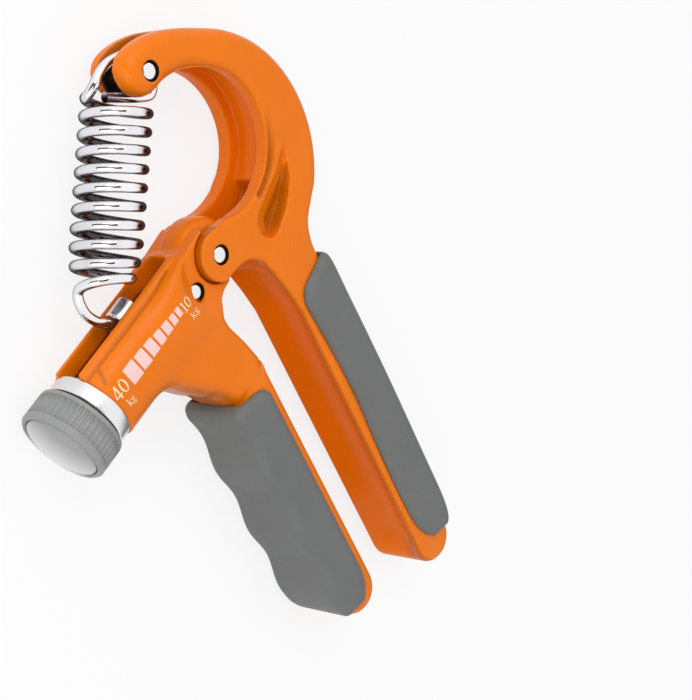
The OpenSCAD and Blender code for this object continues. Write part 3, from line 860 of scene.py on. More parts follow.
# ---- frame and palm pad
@dataclass
class HookFrame:
    """The hook, the pivot's cheeks and the palm handle, in one moulding, with the pad on its handle."""

    thickness: float = 18.0
    edge: float = 2.3
    fine_edge: float = 0.9
    hook_out: Circle = Circle(0.0, 20.3, 32.0)
    hook_in: Circle = Circle(-3.0, 25.5, 17.8)
    lobe: Circle = Circle(0.0, 0.0, 6.4)
    cheek_gap: float = 10.8
    tongue_room: float = 9.7
    ears: float = 15.0
    ear_slot: float = 4.6
    channel: float = 9.2
    channel_depth: float = 3.2
    palm_in: float = 13.6
    palm_width: float = 13.6
    palm_length: float = 113.0
    scoop: float = 4.2
    scoop_half: float = 8.2
    pad_half: float = 11.0
    pad_wall: float = 2.4
    pad_strip: float = 2.0
    pin: float = 2.1
    mouth: float = 2.4
    valley_r: float = 19.2
    valley_width: float = 0.7
    valley_depth: float = 1.7
    channel_step: float = 3.4
    pocket_depth: float = 3.4
    pocket_slope: float = 0.56
    cell: float = 0.45
    pocket: tuple[Point, ...] = (
        (20.6, 26.4), (19.2, 24.9), (17.5, 20.1), (14.8, 15.3), (12.5, 11.2), (11.5, 7.9), (12.4, 5.3),
        (14.6, 3.9), (17.2, 4.2), (18.9, 6.3), (21.3, 11.9), (22.2, 17.9), (21.7, 22.5),
    )

    @property
    def palm_out(self) -> float:
        """Place of the handle core's outer edge, across the handle."""
        return self.palm_in + self.palm_width

    def bar_outline(self) -> list[Point]:
        """Side view of the hook and the palm handle's core.

        Returns:
            The closed outline's points.
        """
        at = DATUM.on_handle
        middle, end = self.palm_in + self.palm_width / 2, self.palm_length - self.palm_width / 2
        outer = curve(
            [(-26.9, 41.1), (-26.4, 43.3), (-25.2, 45.1), (-22.9, 47), (-19.4, 49), (-14.6, 50.7), (-8.8, 51.75),
             self.hook_out.at(93)]
        )
        outer += self.hook_out.arc(93, -6, 40)[1:]
        outer += curve(
            [self.hook_out.at(-6), (30.7, 13), (29.7, 8), (30.8, 3.4), at(19, self.palm_out), at(29, self.palm_out)]
        )[1:]
        outer += round_end(end, middle, self.palm_width, 1)
        inner = curve(
            [(-26.85, 40.6), (-26, 38.6), (-24.2, 36.6), (-21.6, 35.45), (-19.2, 35.6), (-17, 36.9), (-14.6, 39.2),
             self.hook_in.at(122)]
        )
        inner += self.hook_in.arc(122, -30, 40)[1:]
        inner += curve(
            [self.hook_in.at(-30), (12.6, 12.6), (12, 8), (12.2, 3.4), (14.6, -2.7), (20.1, -8),
             at(27, self.palm_in)]
        )[1:]
        inner += round_end(end, middle, self.palm_width, -1)
        return outer + inner[::-1]

    def cheek_outline(self) -> list[Point]:
        """Side view of a cheek, from the finger hole round the lobe to the palm handle.

        Returns:
            The closed outline's points.
        """
        at = DATUM.on_handle
        points = self.hook_in.arc(-24, -75, 16)
        points += curve([points[-1], (0.2, 7.3), (-1.3, 6.7), self.lobe.at(112)])[1:]
        points += self.lobe.arc(112, 288, 32)[1:]
        points += curve(
            [self.lobe.at(288), (3.1, -4.9), (5.2, -3.1), (7.8, -1.7), (10.6, -1.3), (13.7, -2.1), (16.7, -4.4),
             (19.5, -7.4), at(22, self.palm_in)]
        )[1:]
        return points + [at(22, self.palm_in + 5), (20, 4), (19, 14)]

    def solid(self) -> tuple[Field, Callable[[np.ndarray], np.ndarray]]:
        """Works out the moulding.

        Returns:
            Its field, and a function that gives how much painted shade each point takes, from 0 to 1.
        """
        half = self.thickness / 2
        f = Field((-33.5, -86.0), (86.0, 55.0), half + 0.5, self.cell)
        (t, n), r0 = f.handle(), f.from_point(0, 0)
        (_, turn), (r_in, a_in) = f.around(self.hook_out), f.around(self.hook_in)
        over = f.y > self.hook_out.y
        plan = fuse(f.outline(self.bar_outline()), f.outline(self.cheek_outline()), 0.6)
        face = half - (half - self.ears / 2) * soft_step(turn, 84, 126) * over
        # a valley beside the finger hole, which deepens to where the channel steps down
        valley = soft_step(a_in, 34, -10) * soft_step(a_in, -41, -35)
        face = face - self.valley_depth * valley * np.exp(-(((r_in - self.valley_r) / self.valley_width) ** 2))
        # side pocket: it shelves from its left edge to a steep right wall
        pocket = f.outline(curve([*self.pocket, self.pocket[0]]))
        left = np.min([f.from_point(x, y) for x, y in curve(self.pocket[:7])], axis=0)
        face = face - np.clip(0.16 + self.pocket_slope * left, 0, self.pocket_depth) * soft_step(-pocket, 0.0, 0.55)
        # the edges are well rounded on the hook's back and at the ears, and fine elsewhere
        broad = np.maximum(soft_step(r_in, 20, 26) * soft_step(r0, 10, 20), soft_step(turn, 95, 115) * over)
        edge = self.fine_edge + (self.edge - self.fine_edge) * broad
        edge = edge + 1.2 * soft_step(turn, 60, 110) * over - 0.5 * soft_step(r0, 9.0, 7.0)
        f.values = round_trim(plan, f.z - face, edge)
        # the palm handle's inner side is scooped out
        shelf = self.scoop * np.clip(1 - (f.z / self.scoop_half) ** 2, 0, 1)
        shelf = shelf * soft_step(t, 8, 15) * soft_step(t, 111, 101)
        inner_side = (n < self.palm_in + self.palm_width / 2) & (t > 8)
        f.values = np.where(inner_side, trim(f.values, plan + shelf, 0.4), f.values)
        # channel round the finger hole, with a step, and the room for the tongue
        reach = self.channel_depth * soft_step(a_in, 92, 55) + self.channel_step * soft_step(a_in, -21, -22.4)
        f.cut(np.maximum(np.maximum(r_in - self.hook_in.r - reach, f.z - self.channel / 2), -89 - a_in), 0.5)
        f.cut(np.maximum(r0 - self.tongue_room, f.z - self.cheek_gap / 2), 0.3)
        # slot between the ears
        slot = np.minimum(f.x + 15.6, f.from_point(*DATUM.top_pin[:2]) - 7.8)
        f.cut(np.maximum(np.maximum(slot, f.z - self.ear_slot / 2), 30 - f.y), 0.4)
        f.bore((0, 0), self.pin, self.mouth, face)
        f.bore(DATUM.top_pin, self.pin, self.mouth, face)

        def recess(points: np.ndarray) -> np.ndarray:
            """Tells how much painted shade each point takes: in the side pocket, the valley, the palm handle's inner
            wall, the ear slot and beside the lobe.

            Args:
                points: Points of the moulding.

            Returns:
                How much painted shade each point takes, from 0 to 1.
            """
            i = np.clip(np.round((points[:, 0] - f.low[0]) / f.cell).astype(int), 0, f.x.size - 1)
            j = np.clip(np.round((points[:, 1] - f.low[1]) / f.cell).astype(int), 0, f.y.size - 1)
            x, y, height = points[:, 0], points[:, 1], np.abs(points[:, 2])
            # painted shade in the pocket, in the valley, on the handle's inner wall, in the ear slot and round the
            # lobe
            inset = soft_step(pocket[i, j, 0], 0.5, -0.2) * soft_step(left[i, j, 0], 2.8, 4.3)
            inset = inset * (height < half - 0.25) * soft_step(y, 3.5, 8.0)
            groove = soft_step(np.abs(r_in[i, j, 0] - self.valley_r), 1.5, 0.4) * (height > half - 2.2)
            wall = soft_step(n[i, j, 0], self.palm_in + 6, self.palm_in + 0.5) * soft_step(t[i, j, 0], 4, 12)
            wall = wall * soft_step(points[:, 2], 1.0, 6.0) * (height < half - 0.4)
            in_slot = (x < -12) & (y > 33) & (height < self.ear_slot / 2 + 0.35)
            rim = soft_step(np.abs(np.hypot(x, y) - self.lobe.r), 0.5, 0.2) * (height < half - 0.35) * (x < 0)
            depths = [inset, 0.9 * valley[i, j, 0] * groove, 0.85 * wall, in_slot, 0.9 * rim]
            return np.clip(np.maximum.reduce(depths), 0, 1)

        return f, recess

    def pad_outline(self) -> list[Point]:
        """Side view of the palm pad.

        Returns:
            The closed outline's points.
        """
        low, high = self.palm_in + self.pad_strip, self.palm_out + self.pad_wall
        inner = ((20.4, 4.4), (21.8, 1.6), (25, -0.2), (31, 0), (44, 0.9), (57, 1.1), (70, 0.4), (84, 0), (97, 0.4),
                 (103, 2.4), (106, 5))
        outer = ((17.8, -3), (18.8, -0.9), (22, -0.1), (31, 0), (44, 0.2), (57, 0.3), (70, 0.2), (84, 0), (98, -0.2),
                 (104, -1.2), (106.6, -3))
        sides = [
            curve([DATUM.on_handle(along, edge + off) for along, off in side])
            for edge, side in ((high, outer), (low, inner))
        ]
        return sides[0] + sides[1][::-1]

    def pad(self) -> Field:
        """Works out the palm pad.

        Returns:
            Its field.
        """
        f = Field((20.0, -80.0), (86.0, 12.0), self.pad_half + 0.5, 0.5)
        n = f.handle()[1]
        f.values = round_trim(f.outline(self.pad_outline()), f.z - self.pad_half, 2.8)
        f.cut(np.maximum(n - self.palm_out - 0.05, f.z - self.thickness / 2 - 0.05), 0.3)
        return f

    def build(self) -> None:
        """Makes the moulding and its pad, and dresses them."""
        f, recess = self.solid()
        points, faces = f.surface()
        body = piece("hook_frame", points, faces)
        # painted shade in the moulding's recesses
        attribute(body, "recess", recess(points))
        # painted shade: deep in the slot, behind the pin, no light comes in, so it is painted black
        off = np.hypot(points[:, 0] - DATUM.top_pin[0], points[:, 1] - DATUM.top_pin[1])
        deep = (np.abs(points[:, 2]) < self.ear_slot / 2 + 0.35) & (points[:, 2] < 0) & (points[:, 0] < -11)
        attribute(body, "pit", np.where(deep, soft_step(off, 8.0, 6.0) * soft_step(points[:, 1], 44.8, 43.2), 0.0))
        dress(body, ORANGE)
        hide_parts("frame")
        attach(body, "frame")
        points, faces = self.pad().surface()
        pad = dress(piece("palm_grip", points, faces), RUBBER)
        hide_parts("palm_pad")
        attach(pad, "frame")
        LOG.info("frame: %d points, palm pad: %d points", len(body.data.vertices), len(pad.data.vertices))


# ---- lever and finger pad
@dataclass
class Lever:
    """The tongue, the barrel and the finger handle, in one moulding, with the pad on its handle."""

    hook: HookFrame
    thickness: float = 17.2
    tongue: float = 9.4
    tongue_r: float = 9.1
    waist: float = 14.4
    finger_width: float = 13.0
    handle_gap: float = 16.3
    finger_length: float = 104.6
    pad_wall: float = 3.2
    hollow: float = 1.5
    hollow_pitch: float = 19.5
    barrel_r: float = 10.4
    barrel_flats: float = 18.8
    barrel_length: float = 35.4
    barrel_head: float = -2.8
    cavity_r: float = 6.9
    cavity_from: float = 5.6
    slot: float = 7.0
    slot_from: float = -1.2
    cross_pin: float = 2.0
    sleeve_r: float = 3.06
    crease_at: float = 5.65
    lip: float = 0.5
    dish_from: float = 10.6
    cell: float = 0.42
    field: Field | None = None

    @property
    def inner(self) -> float:
        """Place of the finger handle's inner edge, across the handles."""
        return self.hook.palm_in - self.handle_gap

    @property
    def outer(self) -> float:
        """Place of its outer edge."""
        return self.inner - self.finger_width

    def web_outline(self) -> list[Point]:
        """Side view of the plate between the pivot, the barrel and the finger handle.

        Returns:
            The closed outline's points.
        """
        at = DATUM.on_handle
        on = lambda s, n: tuple(DATUM.on_barrel(s, n)[:2])
        points = Circle(0, 0, 7.7).arc(129, 137, 2)
        points += [on(4, 8.6), on(24, 2), on(26, -6)]
        points += curve(
            [on(22.6, -8.6), (-11.8, -31), (-6.6, -32.4), (-2.4, -33.5), (0.4, -34), at(34, self.outer + 0.5)]
        )
        points += [at(36, self.inner - 4), at(31, self.inner - 0.4)]
        points += curve(
            [(13, -24.6), (8, -20.2), (3.8, -17), (1.9, -14.5), (1.6, -11.6), (2.6, -8.4), (4.4, -5.6), (2, -2)]
        )
        return points + [(0, 1)]

    def handle_outline(self) -> list[Point]:
        """Side view of the finger handle's core.

        Returns:
            The closed outline's points.
        """
        at = DATUM.on_handle
        middle, end = self.inner - self.finger_width / 2, self.finger_length - self.finger_width / 2
        inner = [at(29, self.inner)] + round_end(end, middle, self.finger_width, 1)
        outer = [at(34, self.outer)] + round_end(end, middle, self.finger_width, -1)
        return inner + outer[::-1]

    def solid(self) -> Field:
        """Works out the moulding.

        Returns:
            Its field.
        """
        f = Field((-43.0, -95.0), (54.5, 11.0), 10.5, self.cell)
        (s, n), r0 = f.barrel(), f.from_point(0, 0)
        rho, half = np.hypot(n, f.z), self.thickness / 2
        # the barrel has a low lip along its slot, with a crease beside it
        lip = self.lip * soft_step(f.z, 5.4, 4.8) * soft_step(n, 4, 6)
        lip = lip - 0.35 * np.exp(-(((f.z - self.crease_at) / 0.35) ** 2)) * soft_step(n, 4, 6)
        barrel = round_trim(rho - self.barrel_r - lip, f.z - self.barrel_flats / 2, 1.4)
        barrel = round_trim(barrel, self.barrel_head - s, 3.0)
        barrel = round_trim(barrel, s - self.barrel_length, 0.5)
        low = soft_step(f.y, -24, -31) * soft_step(f.x, 22, 12)
        plate = round_trim(f.outline(self.web_outline()), f.z - half, 2.0 + 3.0 * low)
        core = round_trim(f.outline(self.handle_outline()), f.z - half, 2.4)
        f.values = fuse(fuse(barrel, plate, 2.5), core, 1.5)
        # the sides are thinned round the pivot, and cleared where the cheeks' lobes turn
        dish = self.waist / 2 + np.maximum(0, r0 - self.dish_from) / 2.0
        f.values = trim(f.values, (f.z - dish) * 0.91, 0.8)
        f.cut(np.maximum(r0 - 6.8, self.tongue / 2 - f.z), 0.3)
        f.values = fuse(f.values, round_trim(r0 - self.tongue_r, f.z - self.tongue / 2, 3.2), 0.3)
        # cavity and slot
        f.cut(np.maximum(rho - self.cavity_r, self.cavity_from - s), 0.3)
        mouth = round_trim(f.z - self.slot / 2, self.slot_from - s, 1.6)
        floor = np.where(s < self.cavity_from + 1, 5.2, 0.0)
        f.cut(np.maximum(mouth, floor - n), 0.5)
        f.cut(r0 - self.sleeve_r, 0.2)
        f.bore(DATUM.cross_pin, self.cross_pin, self.cross_pin + 0.3, np.minimum(dish, self.barrel_flats / 2))
        return f

    def recess(self, points: np.ndarray) -> np.ndarray:
        """Tells how much painted shade each point takes.

        Args:
            points: Points of the moulding.

        Returns:
            How much painted shade each point takes in the slot, in the crease, at a small notch and under the
            barrel, from 0 to 1.
        """
        rel, height = points - DATUM.cross_pin, np.abs(points[:, 2])
        along, across = rel @ DATUM.barrel, rel @ DATUM.across_barrel
        ring = np.hypot(across, points[:, 2])
        in_slot = (across > 0) & (height < self.slot / 2 + 0.35) & (along > self.slot_from - 0.5)
        in_cavity = (ring < self.cavity_r + 0.5) & (along > self.slot_from)
        # painted shade in the slot and the cavity
        dark = np.where(in_slot | in_cavity, soft_step(self.barrel_r - ring, -0.3, 0.7), 0.0)
        # painted shade under the barrel
        under = soft_step(points[:, 1], -28.0, -32.5) * soft_step(points[:, 0], 12, 2)
        under = under * soft_step(across, -6.5, -9.5) * soft_step(height, 8.4, 6.6)
        # painted shade in the crease
        crease = soft_step(np.abs(height - self.crease_at), 0.6, 0.15) * (across > 3.8)
        crease = crease * (along > 2.0) * (np.abs(ring - self.barrel_r) < 0.8)
        # painted shade of a small notch beside the slot, near the barrel's end, which the shape leaves out
        start, end = np.array([32.0, 8.15, 6.65]), np.array([33.6, 6.36, 8.3])
        way, place = end - start, np.stack([along, across, height], 1) - start
        share = np.clip(place @ way / (way @ way), 0, 1)
        notch_shade = soft_step(np.linalg.norm(place - share[:, None] * way, axis=1), 0.75, 0.35)
        return np.maximum.reduce([0.25 * dark, 0.95 * under, 0.75 * crease, 0.8 * notch_shade])

    def wave(self, along: float) -> float:
        """Depth of the finger hollows, down the handle."""
        return self.hollow * (1 - math.cos(2 * math.pi * (along - 33) / self.hollow_pitch)) / 2

    def pad_outline(self) -> list[Point]:
        """Side view of the finger pad.

        Returns:
            The closed outline's points.
        """
        at = DATUM.on_handle
        ridge = self.outer - self.pad_wall
        stations = [36 + 1.3 * k for k in range(45)]
        outer = [at(32.4, self.outer - 0.2), at(33.4, ridge + 0.9)]
        outer += [at(t, ridge + self.wave(t)) for t in stations] + [at(97.4, ridge + 0.9), at(100.8, ridge + 2.6)]
        inner = [at(33, self.inner - 7), at(33.8, self.inner - 4.4)]
        inner += [at(t, self.inner - 3) for t in stations] + [at(97.6, self.inner - 4), at(101.4, self.inner - 6.8)]
        return curve(outer, 2) + curve(inner, 2)[::-1]

    def pad(self) -> Field:
        """Works out the finger pad.

        Returns:
            Its field.
        """
        f = Field((-6.0, -93.0), (54.0, -22.0), 11.0, 0.5)
        n = f.handle()[1]
        half = self.hook.pad_half - 0.4
        f.values = round_trim(f.outline(self.pad_outline()), f.z - half, 2.6)
        f.cut(np.maximum(self.outer - 0.05 - n, f.z - self.thickness / 2 - 0.05), 0.3)
        return f

    def build(self) -> None:
        """Makes the moulding and its pad, and dresses them."""
        self.field = self.solid()
        points, faces = self.field.surface()
        body = piece("grip_lever", points, faces)
        # painted shade in the slot, the crease, at the notch and under the barrel
        attribute(body, "recess", self.recess(points))
        dress(body, ORANGE)
        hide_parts("lever")
        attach(body, "lever")
        points, faces = self.pad().surface()
        pad = dress(piece("finger_grip", points, faces), RUBBER)
        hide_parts("finger_pad")
        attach(pad, "lever")
        LOG.info("lever: %d points, finger pad: %d points", len(body.data.vertices), len(pad.data.vertices))


# ---- scale
Stroke = tuple[tuple[float, float, float], ...]
Bar = tuple[float, float, float, float]
Word = tuple[str, float, float, float, float]


def bowl(x: float, y: float, rx: float, ry: float, thick: float, thin: float, steps: int = 20) -> Stroke:
    """A closed pen stroke round an oval, thick at its sides.

    Args:
        x: Middle of the oval.
        y: The same, upwards.
        rx: Its half width, to the stroke's middle.
        ry: Its half height.
        thick: Width of the stroke at the sides.
        thin: Width of the stroke at the top and the foot.
        steps: Points round the oval.

    Returns:
        The stroke: places and widths, in letter heights.
    """
    turns = [2 * math.pi * k / steps for k in range(steps + 1)]
    return tuple(
        (x + rx * math.cos(a), y + ry * math.sin(a), thin + (thick - thin) * abs(math.cos(a)) ** 1.5) for a in turns
    )


GLYPHS: dict[str, tuple[float, tuple[Stroke, ...]]] = {
    "4": (0.8, (
        ((0.47, 0.98, 0.09), (0.03, 0.3, 0.07)), ((-0.02, 0.27, 0.11), (0.72, 0.27, 0.11)),
        ((0.5, 0.0, 0.15), (0.5, 1.0, 0.15)),
    )),
    "0": (0.8, (bowl(0.38, 0.5, 0.285, 0.46, 0.15, 0.07),)),
    "1": (0.56, (
        ((0.28, 0.02, 0.15), (0.28, 1.0, 0.13)), ((0.04, 0.03, 0.06), (0.52, 0.03, 0.06)),
        ((0.06, 0.84, 0.06), (0.28, 0.97, 0.09)),
    )),
    "k": (0.76, (
        ((0.16, 0.0, 0.13), (0.16, 1.0, 0.13)), ((0.0, 0.03, 0.06), (0.34, 0.03, 0.06)),
        ((0.0, 0.97, 0.06), (0.16, 0.97, 0.06)), ((0.2, 0.28, 0.07), (0.56, 0.63, 0.07)),
        ((0.42, 0.64, 0.06), (0.72, 0.64, 0.06)), ((0.3, 0.42, 0.12), (0.6, 0.03, 0.12)),
        ((0.44, 0.03, 0.06), (0.76, 0.03, 0.06)),
    )),
    "g": (0.62, (
        bowl(0.27, 0.45, 0.17, 0.18, 0.11, 0.06, 14), ((0.42, 0.58, 0.06), (0.58, 0.63, 0.1)),
        ((0.2, 0.28, 0.06), (0.12, 0.17, 0.08), (0.3, 0.09, 0.09)), bowl(0.28, -0.07, 0.23, 0.14, 0.1, 0.07, 14),
    )),
}


def evenly(rows: Sequence[Sequence[float]], step: float) -> np.ndarray:
    """Adds points to a line, so that none lie further apart than a step.

    Args:
        rows: The line's points: two places and a width each.
        step: The longest distance allowed.

    Returns:
        The points, one row each.
    """
    out = [np.array(rows[0], float)]
    for a, b in zip(rows, rows[1:]):
        a, b = np.array(a, float), np.array(b, float)
        parts = max(1, math.ceil(np.linalg.norm((b - a)[:2]) / step))
        out += [a + (b - a) * k / parts for k in range(1, parts + 1)]
    return np.array(out)


@dataclass
class Scale:
    """The printed scale on the barrel: bars that grow with the force, and its lowest and highest values."""

    lever: Lever
    ink: float = 0.05
    stagger: float = 0.001
    step: float = 0.35
    descender: float = 0.25
    side_gap: float = 0.06
    bars: tuple[Bar, ...] = (
        (28.9, 25.21, 0.4, 4.95), (24.62, 21.63, 0.64, 4.76), (20.97, 18.25, 0.85, 4.56), (17.6, 15.33, 1.02, 4.28),
        (14.73, 12.46, 1.22, 4.13), (11.83, 10.08, 1.32, 3.92), (9.46, 8.0, 1.54, 3.9),
    )
    words: tuple[Word, ...] = (
        ("40", 34.6, 29.98, 0.9, 4.4), ("kg", 33.1, 30.8, -2.7, -0.1),
        ("10", 7.64, 4.22, 1.0, 3.7), ("kg", 6.9, 4.0, -2.2, 0.0),
    )

    def lay(self, name: str, flat: list[Shape], tint: float) -> bpy.types.Object:
        """Lays flat shapes on the barrel's surface.

        Args:
            name: Name of the piece.
            flat: Shapes, each with points along and across the barrel, and faces.
            tint: Which of the ink's two colours they take, from 0 to 1.

        Returns:
            The piece, a thin layer that follows the surface.
        """
        points, faces = [], []
        for number, (spots, polys) in enumerate(flat):
            base = len(points)
            places = np.array([DATUM.on_barrel(s, n)[:2] for s, n in spots])
            # strokes that cross lie at heights of their own
            lift = self.ink + self.stagger * (number % 8)
            heights = self.lever.field.top(places[:, 0], places[:, 1]) + lift
            points += [(x, y, h) for (x, y), h in zip(places, heights)]
            faces += [[base + i for i in poly] for poly in polys]
        made = piece(name, np.array(points), faces, smooth=False)
        # here recess picks the ink's second colour; it paints no shade
        attribute(made, "recess", np.full(len(points), tint))
        return dress(made, INK)

    def patch(self, bar: Bar, steps: int = 8) -> Shape:
        """Makes a four-sided patch, divided so that it follows the surface.

        Args:
            bar: Its last and first place along the barrel, and the places of its sides across it.
            steps: Pieces along and across.

        Returns:
            Points along and across the barrel, and faces.
        """
        s1, s0, n0, n1 = bar
        lines = range(steps + 1)
        spots = [(s0 + (s1 - s0) * v / steps, n0 + (n1 - n0) * u / steps) for v in lines for u in lines]
        w = steps + 1
        corners = [r * w + k for r in range(steps) for k in range(steps)]
        return np.array(spots), [[c, c + 1, c + w + 1, c + w] for c in corners]

    def letters(self, word: Word) -> list[Shape]:
        """The pen strokes of a word, which reads from the knob's end to the pivot's.

        Args:
            word: The word, its first and last place along the barrel, and its foot and top across it.

        Returns:
            One shape for each stroke.
        """
        text, s0, s1, foot, top = word
        drop = self.descender if "g" in text else 0.0
        high = (top - foot) / (1 + drop)
        wide = (s0 - s1) / (sum(GLYPHS[c][0] for c in text) - self.side_gap)
        shapes, start = [], 0.0
        for letter in text:
            for stroke in GLYPHS[letter][1]:
                pen = [
                    (s0 - (start + x) * wide, foot + (y + drop) * high, w * (high + wide) / 4) for x, y, w in stroke
                ]
                rows = evenly(pen, self.step)
                line, half = rows[:, :2], rows[:, 2]
                way = np.gradient(line, axis=0)
                if np.allclose(line[0], line[-1]):
                    way[0] = way[-1] = line[1] - line[-2]
                square = np.stack([-way[:, 1], way[:, 0]], 1) / np.linalg.norm(way, axis=1)[:, None]
                spots = np.concatenate([line + square * half[:, None], line - square * half[:, None]])
                w = len(line)
                shapes.append((spots, [[k, k + 1, w + k + 1, w + k] for k in range(w - 1)]))
            start += GLYPHS[letter][0]
        return shapes

    def build(self) -> None:
        """Makes the bars and the values."""
        made = self.lay("scale_bars", [self.patch(bar) for bar in self.bars], 0.0)
        values = self.lay("scale_values", [shape for word in self.words for shape in self.letters(word)], 1.0)
        for layer in (made, values):
            for polygon in layer.data.polygons:
                if polygon.normal.z < 0:
                    polygon.flip()
            layer.data.update()
            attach(layer, "lever")
        LOG.info("scale: %d bars, %d words", len(self.bars), len(self.words))


# ---- spring
@dataclass
class Spring:
    """The extension spring: coils between an upper hook on the top pin and a lower one on the screw."""

    wire: float = 2.4
    coil_r: float = 7.2
    pitch: float = 4.2
    turns: float = 9.9
    lean: Point = (0.108, 0.994)
    low: Point = (-27.9, -6.8)
    sleeve_r: float = 3.06
    screw_r: float = 2.5
    low_gap: float = 0.1
    top_gap: float = 0.3
    hook_along: float = 19.55
    steps: int = 40
    bend_steps: int = 10

    def coil(self, turn: float) -> tuple[float, float, float]:
        """A point on the coils.

        Args:
            turn: Turns from the lower end.

        Returns:
            The point, in millimetres from the pivot.
        """
        a = math.pi * (1 - 2 * turn)
        r = self.coil_r * (1 - 0.1 * max(0.0, 1 - turn / 2.2))
        along, side = np.array(self.lean), np.array([self.lean[1], -self.lean[0]])
        middle = np.array(self.low) + along * self.pitch * turn + side * r * math.cos(a)
        return (middle[0], middle[1], r * math.sin(a))

    def paths(self) -> tuple[list[tuple[float, ...]], list[tuple[float, ...]]]:
        """The wire's middle line.

        Returns:
            The lower hook, from its end to beside the coils, and from there the coils and the upper hook.
        """
        hook = self.screw_r + self.wire / 2 + self.low_gap
        turns = [math.radians(a) for a in (20, 55, 90, 135)]
        ring = [(-hook * math.sin(a), hook * math.cos(a)) for a in turns]
        ring += [(0.4, -hook), (4.4, -2.0), (8.6, -0.2)]
        low = [tuple(DATUM.on_barrel(self.hook_along, n, z)) for n, z in ring]
        low += [
            (-26.8, -15.35, 0), (-29.9, -14.65, 0), (-32.7, -13.0, 0), (-34.5, -10.4, 0), (-35.1, -8.1, 0.3),
            (-35.0, -6.7, 2.0), (-33.3, -5.6, 5.0), (-29.6, -5.05, 6.5), (-24.3, -5.05, 5.5),
        ]
        coils = [self.coil(i / self.steps) for i in range(self.steps // 2, round(self.turns * self.steps) + 1)]
        low.append(coils[0])
        beside = len(low) - 6
        x, y = DATUM.top_pin[:2]
        over = y + self.sleeve_r + self.wire / 2 + self.top_gap
        top = [
            coils[-1], (-30.6, 35.2, -1.7), (-29.9, 37.6, 0), (-28.5, 40.3, 0), (-26.4, 42.6, 0), (-23.6, 44.2, 0),
            (x, over, 0), (-16.2, 44.7, 0), (-14.2, 42.2, 0), (-13.2, 39.3, 0), (-13.4, 37.2, 0), (-14.6, 36.2, 0),
            (-18.2, 35.7, 0), (-22.6, 35.45, 0), (-27.0, 35.2, 0),
        ]
        low_line = curve(low, self.bend_steps)
        split = self.bend_steps * beside
        return low_line[: split + 1], low_line[split:-1] + coils + curve(top, self.bend_steps)[1:]

    def wind(self, name: str, path: list[tuple[float, ...]]) -> bpy.types.Object:
        """Winds a length of wire.

        Args:
            name: Name of the piece.
            path: The wire's middle line.

        Returns:
            The piece.
        """
        tree = Pattern(f"{name}_wire", **{"Wire Radius": self.wire / 2 * MM, "Sides": 20})
        smooth = tree.add("GeometryNodeSetShadeSmooth", {0: tree.wire("Wire Radius", tree.size("Sides"))})
        tree.finish(smooth, CHROME)
        made = tree.grow(name, path_object(f"{name}_line", path))
        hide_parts("spring")
        spots = np.array([vertex.co for vertex in made.data.vertices]) / MM - DATUM.pivot
        spots = spots - np.array([*self.low, 0.0])
        up, side = np.array([*self.lean, 0.0]), np.array([self.lean[1], -self.lean[0], 0.0])
        # painted shade on the inner side of the coils
        reach = self.coil_r - np.hypot(spots @ side, spots[:, 2])
        height, top = spots @ up, self.pitch * self.turns
        coiled = soft_step(height, -1.0, 3.5) * soft_step(height, top + 1.5, top - 0.5)
        attribute(made, "recess", coiled * soft_step(reach, -0.2, 0.8))
        # painted reflection: the coils' far ends turn to the dark side of the room, so they are painted near black
        far = spots @ side * 0.687 + spots[:, 2] * 0.727
        attribute(made, "pit", 0.95 * coiled * soft_step(far, 6.6, 7.6))
        return made

    def build(self) -> None:
        """Winds both lengths and keeps each one's place in its mesh."""
        low_path, high_path = self.paths()
        hook, coils = self.wind("spring_hook", low_path), self.wind("wound_spring", high_path)
        bend = np.array(low_path[-1])
        top = np.array([DATUM.top_pin[0], DATUM.top_pin[1] - 7.0, 0.0])
        down = -np.array([*self.lean, 0.0])
        foot = top + down * float((bend - top) @ down)
        ring = np.array(DATUM.on_barrel(self.hook_along, 9.0))
        places = [tuple((place + DATUM.pivot) * MM) for place in (top, foot, bend, ring)]
        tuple(places[0])
        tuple(places[1])
        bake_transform(coils)
        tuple(places[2])
        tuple(places[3])
        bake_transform(hook)
        LOG.info("spring: %d points along the wire", len(low_path) + len(high_path))


